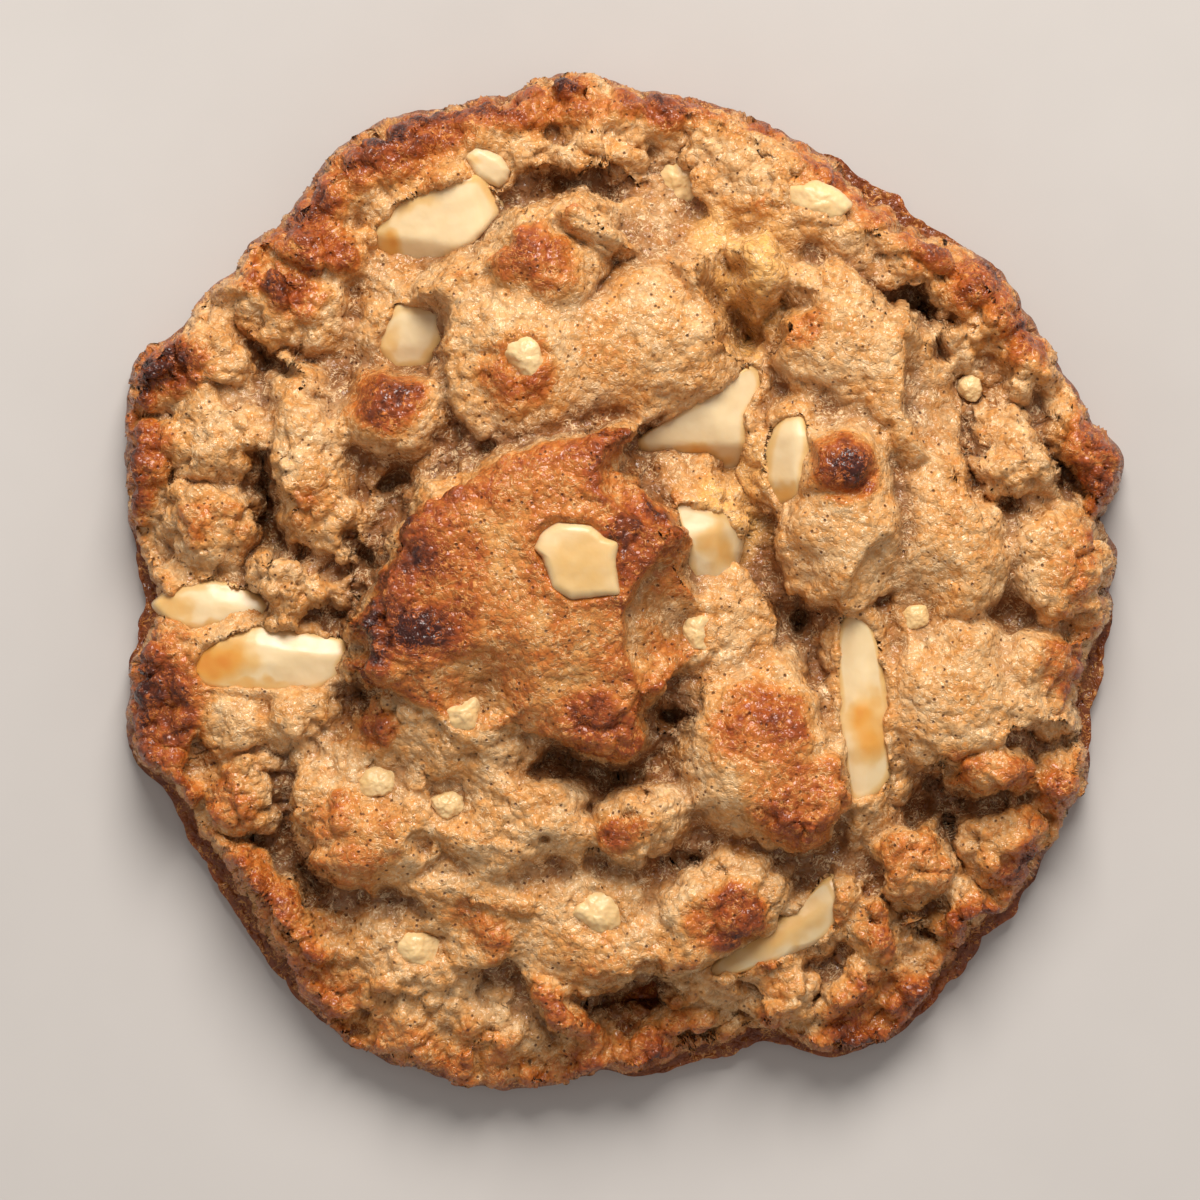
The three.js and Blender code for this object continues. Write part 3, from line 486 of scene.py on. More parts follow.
# white chocolate: height of the top, depth, how far the dough's lip stands above it, sides without a lip as
# (direction, half width in degrees), facets as (direction it falls in, distance from the middle where it
# starts, slope), and the points x, y of the outline that shows
chunks = {
    "chocolate_upper_left": {
        "top": 12.0, "depth": 5, "lip": 0.8, "bare": ((-15, 25),),
        "facets": ((195, -3, 0.12), (-98, 1.4, 0.8), (15, 4.6, 0.7)),
        "outline": (-24.2, 34.3, -22.2, 37.1, -17.5, 39.3, -14, 40.1, -12.3, 36.9, -14.6, 34,
                    -19, 32.1, -21.3, 30.5, -22.4, 32.1)},
    "chocolate_rim_chip": {
        "top": 11.8, "depth": 3, "lip": -0.4, "bare": (),
        "facets": ((-60, 0, 0.25), (60, 0.9, 0.5)),
        "outline": (-15.2, 42.3, -14.2, 43.3, -12, 42.3, -11.2, 41.1, -11.4, 40.2, -12.2, 39.6,
                    -14, 40.5)},
    "chocolate_under_slab": {
        "top": 12.4, "depth": 4.5, "lip": 0.7, "bare": (),
        "facets": ((200, 0, 0.25), (-80, 0.6, 0.4)),
        "outline": (-23.4, 23.8, -23, 26.1, -21.8, 27.1, -18.2, 26.7, -18.6, 23.8, -20, 22,
                    -22.2, 21.7)},
    "chocolate_centre_top": {
        "top": 15.2, "depth": 6, "lip": 1.0, "bare": ((-90, 30),),
        "facets": ((-112, -0.6, 0.25), (8, 1.6, 0.45), (-90, 2.8, 1.2)),
        "outline": (2, 14.3, 6.5, 16.9, 10, 18.9, 12.8, 21.8, 13.9, 19.9, 12.2, 16.7, 12, 12.7,
                    11.6, 11.1, 5.2, 11.2, 3.2, 12.7)},
    "chocolate_right_smear": {
        "top": 17.5, "depth": 4, "lip": 0.8, "bare": (),
        "facets": ((180, -0.8, 0.8), (-90, 2.0, 0.5), (90, 2.5, 0.6)),
        "outline": (14.8, 10.5, 15, 13.3, 16, 15.9, 17.8, 16.3, 18.2, 13.3, 17.3, 9.1, 15.6, 8.1)},
    "chocolate_centre_right": {
        "top": 18.0, "depth": 6, "lip": 0.8, "bare": ((-15, 40),),
        "facets": ((-78, -2.0, 0.55), (5, 1.1, 0.9), (60, -0.5, 0.25)),
        "outline": (5.6, 7.6, 8, 7, 10.3, 6.2, 11.4, 5.1, 11.7, 3.3, 11.2, 0.7, 10.2, -1.7, 8, -1.9,
                    7.4, 1.3, 7.2, 3.8, 6.2, 5.8)},
    "chocolate_crown": {
        "top": 26.9, "depth": 4, "lip": -0.4, "bare": (),
        "facets": ((-90, 0, 0.1), (0, 2.2, 0.15), (150, 2.4, 0.3)),
        "outline": (-8.3, 3.2, -7.5, 4.7, -6, 5.6, -3, 5.3, -1.7, 4.2, -0.4, 3.8, -0.7, 2.1,
                    -0.4, -0.2, -0.1, -1.1, -2, -1.1, -4.7, -1.4, -6.4, -0.5, -6.9, 1.3, -7.4, 2.6)},
    "chocolate_left_upper": {
        "top": 10.4, "depth": 4, "lip": 0.7, "bare": (),
        "facets": ((185, 0, 0.22), (-80, 0.8, 0.5), (80, 0.6, 0.3)),
        "outline": (-45.8, -2.3, -43.5, -0.7, -40.5, -0.5, -37.8, -1, -35.6, -2.3, -35.8, -3.9,
                    -38, -5.1, -42, -4.3, -44.2, -3.6)},
    "chocolate_left_lower": {
        "top": 12.6, "depth": 4.5, "lip": 0.7, "bare": (),
        "facets": ((-82, 0.4, 0.28), (172, 1.5, 0.22), (80, 1.2, 0.5)),
        "outline": (-42, -8.5, -41, -6.9, -38.5, -5.7, -35.5, -4.6, -32, -5.2, -27.9, -5.8,
                    -27.5, -7.3, -28.5, -8, -28.2, -9.3, -31, -10.4, -34, -10.1, -38, -10.3,
                    -41.2, -9.8)},
    "chocolate_right_lower": {
        "top": 15.2, "depth": 5, "lip": 0.8, "bare": (),
        "facets": ((0, 0.4, 0.5), (180, 0.8, 0.4), (-90, 3.5, 0.22)),
        "outline": (21.9, -4.5, 23, -3.5, 24.6, -3.8, 25.3, -6.7, 25.9, -9.7, 26, -13.7,
                    26.2, -16.2, 26.6, -18.3, 26, -19.8, 24.6, -21, 23, -21.6, 22.7, -18.7,
                    22.2, -15.2, 22.1, -11.7, 21.8, -7.7)},
    "chocolate_lower_right": {
        "top": 11.8, "depth": 5, "lip": 0.8, "bare": ((-55, 40),),
        "facets": ((-55, 0, 0.45), (125, 0.6, 0.3)),
        "middle": (16.6, -35.2),
        "outline": (9.2, -38.1, 12, -36.3, 14.8, -35.1, 17, -33.5, 18.6, -31.8, 19.6, -30.2,
                    20.6, -29.6, 21.3, -31.5, 21.4, -33.1, 20.2, -35.1, 17.5, -36.5, 14.5, -37.6,
                    11.8, -38.6, 9.6, -38.9)},
}

# caramel on the chunks, and painted shade on faces turned from the light and on a chunk in shadow: x, y,
# half length, half width, turn in degrees, strength
caramelAndShadeSpots = (
    (-22.6, 33.6, 2.0, 2.0, 0, 0.9), (-20.5, 37.6, 3.4, 1.3, 25, 0.45), (7, 12.2, 5, 1.7, 0, 0.8),
    (15.4, 15.6, 1.6, 1, 0, 0.5), (16.4, 8.8, 2, 1.3, 0, 0.6), (9.6, 3.6, 2.2, 3.6, 0, 0.5),
    (8.6, -0.8, 2.2, 1.6, 0, 0.7), (-3.5, 2, 7, 6, 0, 0.4), (-40.5, -4.7, 3.6, 0.8, -8, 0.6),
    (-44.6, -2.2, 2.2, 2, 0, 0.5), (-40.6, -7.8, 5, 3.4, 10, 0.9), (-36, -10.1, 5, 0.8, 0, 0.55),
    (24.3, -14.4, 2.6, 4.2, 0, 0.75), (15.5, -34.8, 8, 3, 30, 0.5), (-22.6, 24.6, 1.4, 2.4, 0, 0.4),
    (-14.6, 42.4, 1, 1, 0, 0.4),
)

# nuts: length, width, thickness, turn in degrees
nuts = {
    "nut_slab": (4.4, 5, 3.6, 0), "nut_top": (6.4, 5.6, 4.6, 15), "nut_upper_right": (7, 3.8, 3.6, -24),
    "nut_shelf": (6.2, 5.4, 4.4, 20), "nut_lower_left": (5.4, 3.8, 3.4, -20),
    "nut_crown_edge": (5, 4.4, 3.8, 10), "nut_crown_right": (3.4, 3.8, 3, 0),
    "nut_right": (2.8, 3.4, 2.4, 0), "nut_far_right": (2.4, 2.8, 2.2, 0),
    "nut_swirl": (4.2, 3.4, 3, 10), "nut_shelf_left": (3.6, 3.2, 2.8, 0),
}


# the middle of an outline's box, or the one given where that lies outside a bent outline
def outlineMiddle(row):
    line = np.array(row["outline"], float).reshape(-1, 2)
    return np.array(row.get("middle", (line.min(0) + line.max(0)) / 2))


# 1 in the directions where a chunk's side stands free, 0 where dough overlaps it
def bareness(row, angle):
    degrees = np.degrees(angle)
    sides = [swell(turnFrom(degrees, direction), half) for direction, half in row["bare"]]
    return np.max(sides, axis=0) if sides else 0 * angle


# directions round an outline, the turn in radians that rounds its corners, and millimetres added outside
outlineTrace = {"steps": 720, "rounding": 0.05, "outside": 0.3}


# distance from the middle to the outline in each direction: where the ray meets the side between two
# corners, the corners then rounded off by a blur round the turn
def outlineReach(row, angle):
    line = np.unique(np.array(row["outline"], float).reshape(-1, 2), axis=0) - outlineMiddle(row)
    turns = np.arctan2(line[:, 1], line[:, 0])
    line, turns = line[np.argsort(turns)], np.sort(turns)
    steps = outlineTrace["steps"]
    around = np.linspace(-math.pi, math.pi, steps, endpoint=False)
    after = np.searchsorted(turns, around) % len(turns)
    a, b = line[after - 1], line[after]
    reach = (a[:, 0] * b[:, 1] - a[:, 1] * b[:, 0]) / (
        np.cos(around) * (b[:, 1] - a[:, 1]) - np.sin(around) * (b[:, 0] - a[:, 0]))
    rate = np.fft.rfftfreq(steps, 1 / steps)
    fade = np.exp(-0.5 * (rate * outlineTrace["rounding"]) ** 2)
    reach = np.fft.irfft(np.fft.rfft(reach) * fade, steps)
    return np.interp(angle, around, reach + outlineTrace["outside"], period=2 * math.pi)


# height of a chunk's top at a place: level, then falling by each facet's slope from where it starts
def chunkTop(row, x, y):
    cx, cy = outlineMiddle(row)
    height = np.full(np.shape(x), float(row["top"]))
    for direction, start, slope in row["facets"]:
        c, s = cosSin(direction)
        height -= slope * np.logaddexp(0, 5 * ((x - cx) * c + (y - cy) * s - start)) / 5
    return height


# middle of a solid's box, in millimetres
def middleOf(node):
    low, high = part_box(node)
    return np.array([(a + b) / 2 / mm for a, b in zip(low, high)])


# the dough's lip round what is set in it: its height, how deep it dives under the top and the slope up from
# it; how deep a nut sits, and the share of it that shows
bedding = {
    "bareLip": -1.2, "chunkDive": 1.4, "chunkSlope": 3.2,
    "nutLip": 0.2, "nutDive": 0.2, "nutSlope": 0.8, "nutSunk": 0.6, "nutShows": 0.93,
}


# dough round a chunk or nut: banked up to a lip above its top where it was lower, falling to the lip at a
# steep slope where it was higher, and diving under the top just inside the edge
def bedded(height, outside, top, lip, dive, slope):
    beyond = np.maximum(outside - 0.3, 0)
    banked = softMax(height, top + lip - 0.6 * beyond, 2.5)
    limit = top + lip + slope * beyond - (lip + dive) * smoothstep(-outside, -0.3, 0.5)
    return np.where(outside < 6, np.minimum(banked, limit), height)


# how far a place lies inside the line of the crown's edges
def insideCrown(x, y):
    row = {"outline": sum((ledges[name][2:] for name in crown["edges"]), ()), "middle": crown["middle"]}
    awayX, awayY = x - crown["middle"][0], y - crown["middle"][1]
    return outlineReach(row, np.arctan2(awayY, awayX)) - np.hypot(awayX, awayY)


# the crown's plateau: a sloping plane less a shoulder that grows as a power towards the edge, and a steep
# fall beyond it
def crownHeight(x, y):
    inside = insideCrown(x, y)
    awayX, awayY = x - crown["middle"][0], y - crown["middle"][1]
    level = crown["top"] + crown["slopes"][0] * awayX + crown["slopes"][1] * awayY
    shoulder = crown["shoulder"] * (1 - np.clip(inside / crown["round"], 0, 1)) ** crown["power"]
    return level - shoulder - crown["fall"] * np.maximum(-inside, 0)


# the dough's height map before its rim: the groups' tops, creases where two groups meet, hollows, ledges,
# the flake, clumps and crags, and a window down to each chunk and nut
def makeHeightMap():
    axis = np.arange(-dough["mapHalf"], dough["mapHalf"] + dough["mapStep"] / 2, dough["mapStep"])
    x, y = np.meshgrid(axis, axis)
    flat = np.zeros_like(x)
    far, farLength = dough["wander"]
    near, nearLength = dough["fineWander"]
    strayX = x + near * waves(x, y, flat, nearLength, 2, 5)
    strayY = y + near * waves(x, y, flat, nearLength, 2, 6)
    lumpX = strayX + far * waves(x, y, flat, farLength, 2, 3)
    lumpY = strayY + far * waves(x, y, flat, farLength, 2, 4)
    outline = rimRadius(np.arctan2(y, x))
    fromCentre = np.hypot(x, y)
    comeAndGo = smoothstep(waves(x, y, flat, 7, 2, 15), -0.15, 0.45)
    seam = dough["seam"] * comeAndGo
    best = dough["bedAtRim"] + dough["bedRise"] * (1 - (fromCentre / outline) ** 2)
    second = np.full_like(x, -20)
    for name, rows in lumps.items():
        height = groupHeight(rows, lumpX, lumpY, seam)
        if name == "crown":
            height = softMax(height, crownHeight(strayX, strayY), 1.2)
        second = np.maximum(second, np.minimum(best, height))
        best = softMax(best, height, dough["meeting"])
    height = best - dough["crease"] * comeAndGo * np.exp(-((best - second) / dough["creaseWidth"]) ** 2)
    filled = blur(height, dough["fillLength"]) - dough["fillDepth"] - 0.8 * waves(x, y, flat, 12, 2, 17)
    height = softMax(height, filled, 1.4)
    for row in hollows:
        height -= row[5] * (1 - smoothstep(ellipseDistance(row, strayX, strayY), 0.3, 1.3))
    for row in ledges.values():
        cutLedge(height, strayX, strayY, row)
    offFlake = np.maximum(ellipseDistance(flake, strayX, strayY) - flakeLevel, 0)
    height = softMax(height, flake[5] - flakeFall * offFlake, 2.5)
    clump, own = cells(strayX, strayY, height / 2, dough["clumpSize"], 23)
    smooth = spots(smoothSpots, x, y, 0.5, 1.2)
    ball = np.sqrt(np.clip(1 - (clump / 0.9) ** 2, 0, 1)) - 0.6
    height += dough["clump"] * (1 - smooth) * (0.6 + 0.8 * own) * ball
    ridge = 1 - 2 * np.abs(waves(strayX, strayY, height / 3, dough["cragLength"], 3, 22))
    height += dough["crag"] * (1 - 0.75 * smooth) * (ridge - 0.5)
    ragged = 1 + 0.9 * waves(x, y, flat, 3, 2, 27)
    for row in chunks.values():
        cx, cy = outlineMiddle(row)
        edgeX, edgeY = 0.3 * x + 0.7 * strayX - cx, 0.3 * y + 0.7 * strayY - cy
        turn = np.arctan2(edgeY, edgeX)
        free = bareness(row, turn)
        lip = row["lip"] * ragged * (1 - free) + bedding["bareLip"] * free
        outside = np.hypot(edgeX, edgeY) - outlineReach(row, turn)
        top = chunkTop(row, x, y)
        height = bedded(height, outside, top, lip, bedding["chunkDive"], bedding["chunkSlope"])
    for name, row in nuts.items():
        cx, cy, cz = middleOf(name) + (outlineShift[0], outlineShift[1], 0)
        window = (cx, cy, row[0] / 2, row[1] / 2, row[3])
        outside = (ellipseDistance(window, strayX, strayY) - bedding["nutShows"]) * min(window[2:4])
        top = cz + row[2] / 2 - bedding["nutSunk"]
        height = bedded(height, outside, top, bedding["nutLip"], bedding["nutDive"], bedding["nutSlope"])
    return x, y, limitSlope(blur(height, 0.18), dough["steepest"]), fromCentre / outline


# the outline is centred on the frame's origin, as the solid's is
ringAngles = np.linspace(-math.pi, math.pi, 1440)
ringX, ringY = rimRadius(ringAngles) * np.cos(ringAngles), rimRadius(ringAngles) * np.sin(ringAngles)
outlineShift = ((ringX.min() + ringX.max()) / 2, (ringY.min() + ringY.max()) / 2)

mapX, mapY, bareMap, rimShare = makeHeightMap()
heightMap = np.clip(bareMap, dough["footHeight"], rimCeiling(mapX, mapY))
print("height map:", heightMap.shape, "top %.1f mm" % heightMap.max())


# Mesh making

# grid faces from a block of rows and columns of vertices; wrap joins the last column to the first
def gridFaces(rows, columns, wrap=False):
    index = np.arange(rows * columns).reshape(rows, columns)
    if wrap:
        index = np.column_stack([index, index[:, 0]])
    return np.stack([index[:-1, :-1], index[:-1, 1:], index[1:, 1:], index[1:, :-1]], -1).reshape(-1, 4)


# an object from corner arrays: points in millimetres, faces of one size in each array
def makePiece(name, points, faceSets, material, smooth=True):
    mesh = bpy.data.meshes.new(name)
    mesh.vertices.add(len(points))
    mesh.vertices.foreach_set("co", np.ascontiguousarray(points * mm, np.float32).ravel())
    corners = np.concatenate([f.ravel() for f in faceSets]).astype(np.int32)
    sizes = np.concatenate([np.full(len(f), f.shape[1]) for f in faceSets]).astype(np.int32)
    mesh.loops.add(len(corners))
    mesh.loops.foreach_set("vertex_index", corners)
    mesh.polygons.add(len(sizes))
    mesh.polygons.foreach_set("loop_start", (np.cumsum(sizes) - sizes).astype(np.int32))
    mesh.polygons.foreach_set("use_smooth", np.full(len(sizes), smooth))
    mesh.update(calc_edges=True)
    mesh.validate()
    mesh.materials.append(material)
    piece = bpy.data.objects.new(name, mesh)
    bpy.context.scene.collection.objects.link(piece)
    return piece


# a number for each vertex, which the materials read
def addAttribute(piece, name, values):
    layer = piece.data.attributes.new(name, "FLOAT", "POINT")
    layer.data.foreach_set("value", np.ascontiguousarray(values, np.float32).ravel())


# Materials

# short ways to make and link the nodes of one material
class Nodes:
    def __init__(self, name):
        self.material = bpy.data.materials.new(name)
        self.material.use_nodes = True
        self.tree = self.material.node_tree
        self.shader = self.tree.nodes["Principled BSDF"]
        self.place = self.tree.nodes.new("ShaderNodeTexCoord").outputs["Object"]

    def make(self, kind, inputs, **settings):
        node = self.tree.nodes.new(kind)
        for key, value in settings.items():
            setattr(node, key, value)
        for key, value in inputs.items():
            if isinstance(value, bpy.types.NodeSocket):
                self.tree.links.new(value, node.inputs[key])
            else:
                node.inputs[key].default_value = value
        return node

    def noise(self, perMetre, detail=2.0, rough=0.5, distortion=0.0):
        inputs = {"Vector": self.place, "Scale": perMetre, "Detail": detail, "Roughness": rough,
                  "Distortion": distortion}
        return self.make("ShaderNodeTexNoise", inputs).outputs["Fac"]

    def spread(self, value, fromLow, fromHigh, toLow=0.0, toHigh=1.0):
        inputs = {"Value": value, "From Min": fromLow, "From Max": fromHigh,
                  "To Min": toLow, "To Max": toHigh}
        return self.make("ShaderNodeMapRange", inputs).outputs["Result"]

    def attribute(self, name):
        return self.make("ShaderNodeAttribute", {}, attribute_name=name).outputs["Fac"]

    def maths(self, operation, a, b=0.0, c=0.0):
        return self.make("ShaderNodeMath", {0: a, 1: b, 2: c}, operation=operation).outputs[0]

    def ramp(self, value, stops):
        node = self.make("ShaderNodeValToRGB", {"Fac": value})
        band = node.color_ramp
        while len(band.elements) < len(stops):
            band.elements.new(0.5)
        for element, (position, colour) in zip(band.elements, stops):
            element.position = position
            element.color = (*linear(colour), 1)
        return node.outputs["Color"]

    def mix(self, share, a, b):
        node = self.make("ShaderNodeMix", {"Factor": share}, data_type="RGBA")
        for socket, value in (("A", a), ("B", b)):
            target = next(i for i in node.inputs if i.name == socket and i.type == "RGBA")
            if isinstance(value, bpy.types.NodeSocket):
                self.tree.links.new(value, target)
            else:
                target.default_value = (*linear(value), 1)
        return next(o for o in node.outputs if o.type == "RGBA")

    def bump(self, height, strength, distance):
        inputs = {"Height": height, "Strength": strength, "Distance": distance}
        return self.make("ShaderNodeBump", inputs).outputs["Normal"]

    def into(self, socket, value):
        if isinstance(value, bpy.types.NodeSocket):
            self.tree.links.new(value, self.shader.inputs[socket])
        else:
            self.shader.inputs[socket].default_value = value


# 8-bit screen colour to the shader's linear numbers
def linear(colour):
    return [c / 255 / 12.92 if c <= 10 else ((c / 255 + 0.055) / 1.055) ** 2.4 for c in colour]


# grains and marks of the dough's skin, with painted shade in crevices and pores and painted glints on its
# curls: how many a metre, heights in metres, shares, 8-bit colours
skin = {
    "patches": (260, 0.1), "speckles": (1500, 0.08), "blotches": 820, "blotchShade": (0.74, 1.02),
    "nodules": 1300.0, "noduleHeight": 0.00025, "grains": 2600.0, "grainHeight": 0.0001,
    "curls": 1300.0, "curlWidth": 0.065, "curlHeight": 0.00005,
    "glintPatches": 700, "glintLight": 0.9, "glintHere": (0.42, 0.54), "glintPaler": 0.26,
    "pores": 1000.0, "porePatches": 170, "poreRim": (0.1, 0.2), "poreDepth": 0.00014,
    "rough": (0.5, 0.65), "wetSmoother": 0.4, "specular": 0.15, "coat": 0.6, "coatRough": 0.12,
    "paintedShadeShare": 0.75, "paintedShadeColour": (110, 54, 22), "poreShadeColour": (84, 40, 18),
    "wetShare": 0.9, "wetColour": (250, 188, 106),
}
# the dough's colour from unbaked to burnt: browning, 8-bit colour
doughColours = (
    (0.0, (239, 204, 158)), (0.2, (229, 182, 126)), (0.4, (216, 149, 79)),
    (0.58, (198, 112, 43)), (0.76, (160, 73, 24)), (1.0, (64, 21, 8)),
)


# baked dough: colour follows browning, with painted shade in crevices, between granules and in pores, round
# crumb grain, painted glints along the curls and a greasy shine
def doughMaterial():
    n = Nodes("bakedDough")
    toast, wet, paintedShade = n.attribute("toast"), n.attribute("wet"), n.attribute("paintedShade")
    patches, patchShare = skin["patches"]
    speckles, speckleShare = skin["speckles"]
    patch = n.spread(n.noise(patches, 2, 0.6), 0.3, 0.7, -patchShare, patchShare)
    speckle = n.spread(n.noise(speckles, 1, 0.65), 0.3, 0.7, -speckleShare, speckleShare)
    browning = n.maths("ADD", n.maths("ADD", toast, patch), speckle)
    colour = n.ramp(browning, doughColours)
    glintColour = n.ramp(n.maths("SUBTRACT", browning, skin["glintPaler"]), doughColours)
    # painted shade: crevices and gaps between granules darkened towards a dark brown
    withPaintedShade = n.mix(n.spread(paintedShade, 0.0, 1.0, 0.0, skin["paintedShadeShare"]), colour, skin["paintedShadeColour"])
    glossy = n.mix(n.maths("MULTIPLY", wet, skin["wetShare"]), withPaintedShade, skin["wetColour"])
    pore = n.make("ShaderNodeTexVoronoi", {"Vector": n.place, "Scale": skin["pores"]}).outputs["Distance"]
    poreHere = n.spread(n.noise(skin["porePatches"], 1), 0.36, 0.5)
    # painted shade inside the pores: a dark brown where each one dips
    poreShadeShare = n.maths("MULTIPLY", n.spread(pore, *skin["poreRim"], 0.85, 0.0), poreHere)
    knob = n.make("ShaderNodeTexVoronoi", {"Vector": n.place, "Scale": skin["nodules"]}).outputs["Distance"]
    gap = n.maths("MULTIPLY", knob, knob)
    squiggle = n.noise(skin["curls"], 1, 0.5, 1.4)
    offLine = n.maths("ABSOLUTE", n.maths("SUBTRACT", squiggle, 0.5))
    thread = n.spread(offLine, 0.0, skin["curlWidth"], 1.0, 0.0)
    # painted glints: the curls' threads are lightened towards a paler brown in patches, standing in for
    # their shine
    curlGlint = n.maths("MULTIPLY", thread, n.spread(n.noise(skin["glintPatches"], 1), *skin["glintHere"]))
    blotch = n.spread(n.noise(skin["blotches"], 2, 0.6), 0.28, 0.72, *skin["blotchShade"])
    shade = n.make("ShaderNodeVectorMath", {0: glossy, 3: blotch}, operation="SCALE").outputs["Vector"]
    withGlints = n.mix(n.maths("MULTIPLY", curlGlint, skin["glintLight"]), shade, glintColour)
    n.into("Base Color", n.mix(poreShadeShare, withGlints, skin["poreShadeColour"]))
    rough = n.spread(blotch, *skin["blotchShade"], *skin["rough"])
    rough = n.maths("SUBTRACT", rough, n.maths("MULTIPLY", wet, skin["wetSmoother"]))
    n.into("Roughness", n.maths("SUBTRACT", rough, n.spread(toast, 0.2, 0.7, 0.0, 0.12)))
    # one height for all the relief, in metres
    relief = n.maths("MULTIPLY", gap, -skin["noduleHeight"])
    relief = n.maths("MULTIPLY_ADD", n.noise(skin["grains"], 1, 0.6), skin["grainHeight"], relief)
    relief = n.maths("MULTIPLY_ADD", thread, skin["curlHeight"], relief)
    relief = n.maths("MULTIPLY_ADD", n.spread(pore, 0.04, 0.2), skin["poreDepth"], relief)
    ripple = n.bump(relief, 1.0, 1.0)
    n.into("Normal", ripple)
    n.into("Coat Normal", ripple)
    n.into("Specular IOR Level", skin["specular"])
    n.into("Coat Weight", skin["coat"])
    n.into("Coat Roughness", skin["coatRough"])
    return n.material


# white chocolate: ivory, softly mottled, with caramel and painted shade where the attribute says
def chocolateMaterial():
    n = Nodes("whiteChocolate")
    amberAndShade = n.attribute("amberAndShade")
    base = n.ramp(n.noise(220, 3, 0.6), ((0.3, (224, 200, 158)), (0.7, (216, 187, 140))))
    brownedAndShaded = n.ramp(amberAndShade, ((0.0, (224, 200, 158)), (0.4, (213, 171, 108)),
                             (0.75, (211, 149, 66)), (1.0, (202, 126, 44))))
    n.into("Base Color", n.mix(n.spread(amberAndShade, 0.05, 0.3), base, brownedAndShaded))
    n.into("Roughness", n.spread(n.noise(500, 2), 0.3, 0.7, 0.28, 0.45))
    n.into("Normal", n.bump(n.noise(700, 2), 0.12, 0.0004))
    n.into("Subsurface Weight", 0.25)
    n.into("Subsurface Radius", (1.0, 0.75, 0.45))
    n.into("Subsurface Scale", 0.002)
    return n.material


# nut flesh: cream to tan, dull, with fine grain
def nutMaterial():
    n = Nodes("nutFlesh")
    amberAndShade = n.attribute("amberAndShade")
    base = n.ramp(n.noise(380, 3, 0.6), ((0.3, (228, 196, 144)), (0.7, (218, 178, 118))))
    n.into("Base Color", n.mix(amberAndShade, base, (206, 146, 84)))
    n.into("Roughness", n.spread(n.noise(800, 2), 0.3, 0.7, 0.3, 0.45))
    n.into("Normal", n.bump(n.noise(1400, 3, 0.6), 0.25, 0.0004))
    n.into("Subsurface Weight", 0.15)
    n.into("Subsurface Radius", (1.0, 0.65, 0.35))
    n.into("Subsurface Scale", 0.0015)
    return n.material


doughSkin = doughMaterial()
chocolateSkin = chocolateMaterial()
nutSkin = nutMaterial()


# Dough mesh: a middle, a ring round it and a border, each a plug in the well of the next, all from one map

# crumb in millimetres: size and height of each kind of granule, wrinkles and pores
crumb = {
    "clusterSize": 3.2, "cluster": 1.45, "nodSize": 1.6, "nod": 0.85, "beadSize": 0.8, "bead": 0.28,
    "wrinkleLength": 1.1, "wrinkle": 0.05, "poreSize": 2.3, "pore": 0.4, "bulge": 0.1,
}
doughMesh = {
    "innerJoint": 27.0, "outerJoint": 41.0, "overlap": 0.9, "dive": 1.6,
    "middleFloor": 5.0, "ringFloors": (4.4, 3.4), "borderFloor": 2.6,
    "middleCells": 37, "ringCells": (11, 130), "borderCells": (7, 200),
    "relaxSteps": (120, 70, 40, 30),  # each step of the list doubles the cells
    "underBrown": 0.76,
}
# heights of the strips in the bake: the middle's shell and the start of its top; a ring's quarter and what
# it fills of that, its well and its underside
bakeStrips = {
    "middleShell": (0.0, 0.05), "middleTop": 0.06,
    "quarter": 0.22, "quarterFilled": 0.21, "well": (0.9, 0.94), "underside": (0.95, 1.0),
}


# square rings to circles: (a, b) in a square of half width 1 to a point of the unit disc
def squareToDisc(a, b):
    wide = np.abs(a) > np.abs(b)
    radius = np.where(wide, a, b)
    safe = np.where(radius == 0, 1, radius)
    angle = math.pi / 4 * np.where(wide, b / safe, 2 - a / safe)
    return radius * np.cos(angle), radius * np.sin(angle)


# even out the mesh: each free vertex moves to the mean of its four neighbours, the far ones pulling harder
def relax(x, y, free, steps, ground):
    for _ in range(steps):
        z = sample(ground, x, y)
        pull, sumX, sumY = np.full_like(x, 1e-9), np.zeros_like(x), np.zeros_like(x)
        for shift, axis in ((1, 0), (-1, 0), (1, 1), (-1, 1)):
            nearX, nearY, nearZ = [np.roll(t, shift, axis) for t in (x, y, z)]
            away = (nearX - x) ** 2 + (nearY - y) ** 2 + (nearZ - z) ** 2
            pull += away
            sumX += away * nearX
            sumY += away * nearY
        x = np.where(free, x + 0.6 * (sumX / pull - x), x)
        y = np.where(free, y + 0.6 * (sumY / pull - y), y)
    return x, y


# twice as many cells along one axis, the new vertices half way between the old
def doubled(t, axis, wrap):
    after = np.roll(t, -1, axis)
    between = (t + after) / 2
    both = np.stack([t, between], axis + 1)
    shape = list(t.shape)
    shape[axis] *= 2
    both = both.reshape(shape)
    return both if wrap else np.delete(both, -1, axis)  # the last one runs from the end back to the start


# spread the vertices over the slopes, from a coarse grid to the full one; pinned puts the edge back on its
# line
def spreadPlan(x, y, wrap, pinned):
    for level, steps in enumerate(doughMesh["relaxSteps"]):
        if level:
            x, y = [doubled(doubled(t, 0, False), 1, wrap) for t in (x, y)]
        x, y, free = pinned(x, y)
        x, y = relax(x, y, free, steps, blur(heightMap, 0.9 / 2 ** level))
    return x, y


# unit normals of a grid of points, from the differences along its rows and columns
def gridNormals(p, wrap):
    if wrap:
        p = np.concatenate([p[:, -1:], p, p[:, :1]], axis=1)
    n = np.cross(np.gradient(p, axis=1), np.gradient(p, axis=0))
    n /= np.linalg.norm(n, axis=2, keepdims=True) + 1e-9
    n *= np.sign(n[..., 2:].mean())
    return n[:, 1:-1] if wrap else n


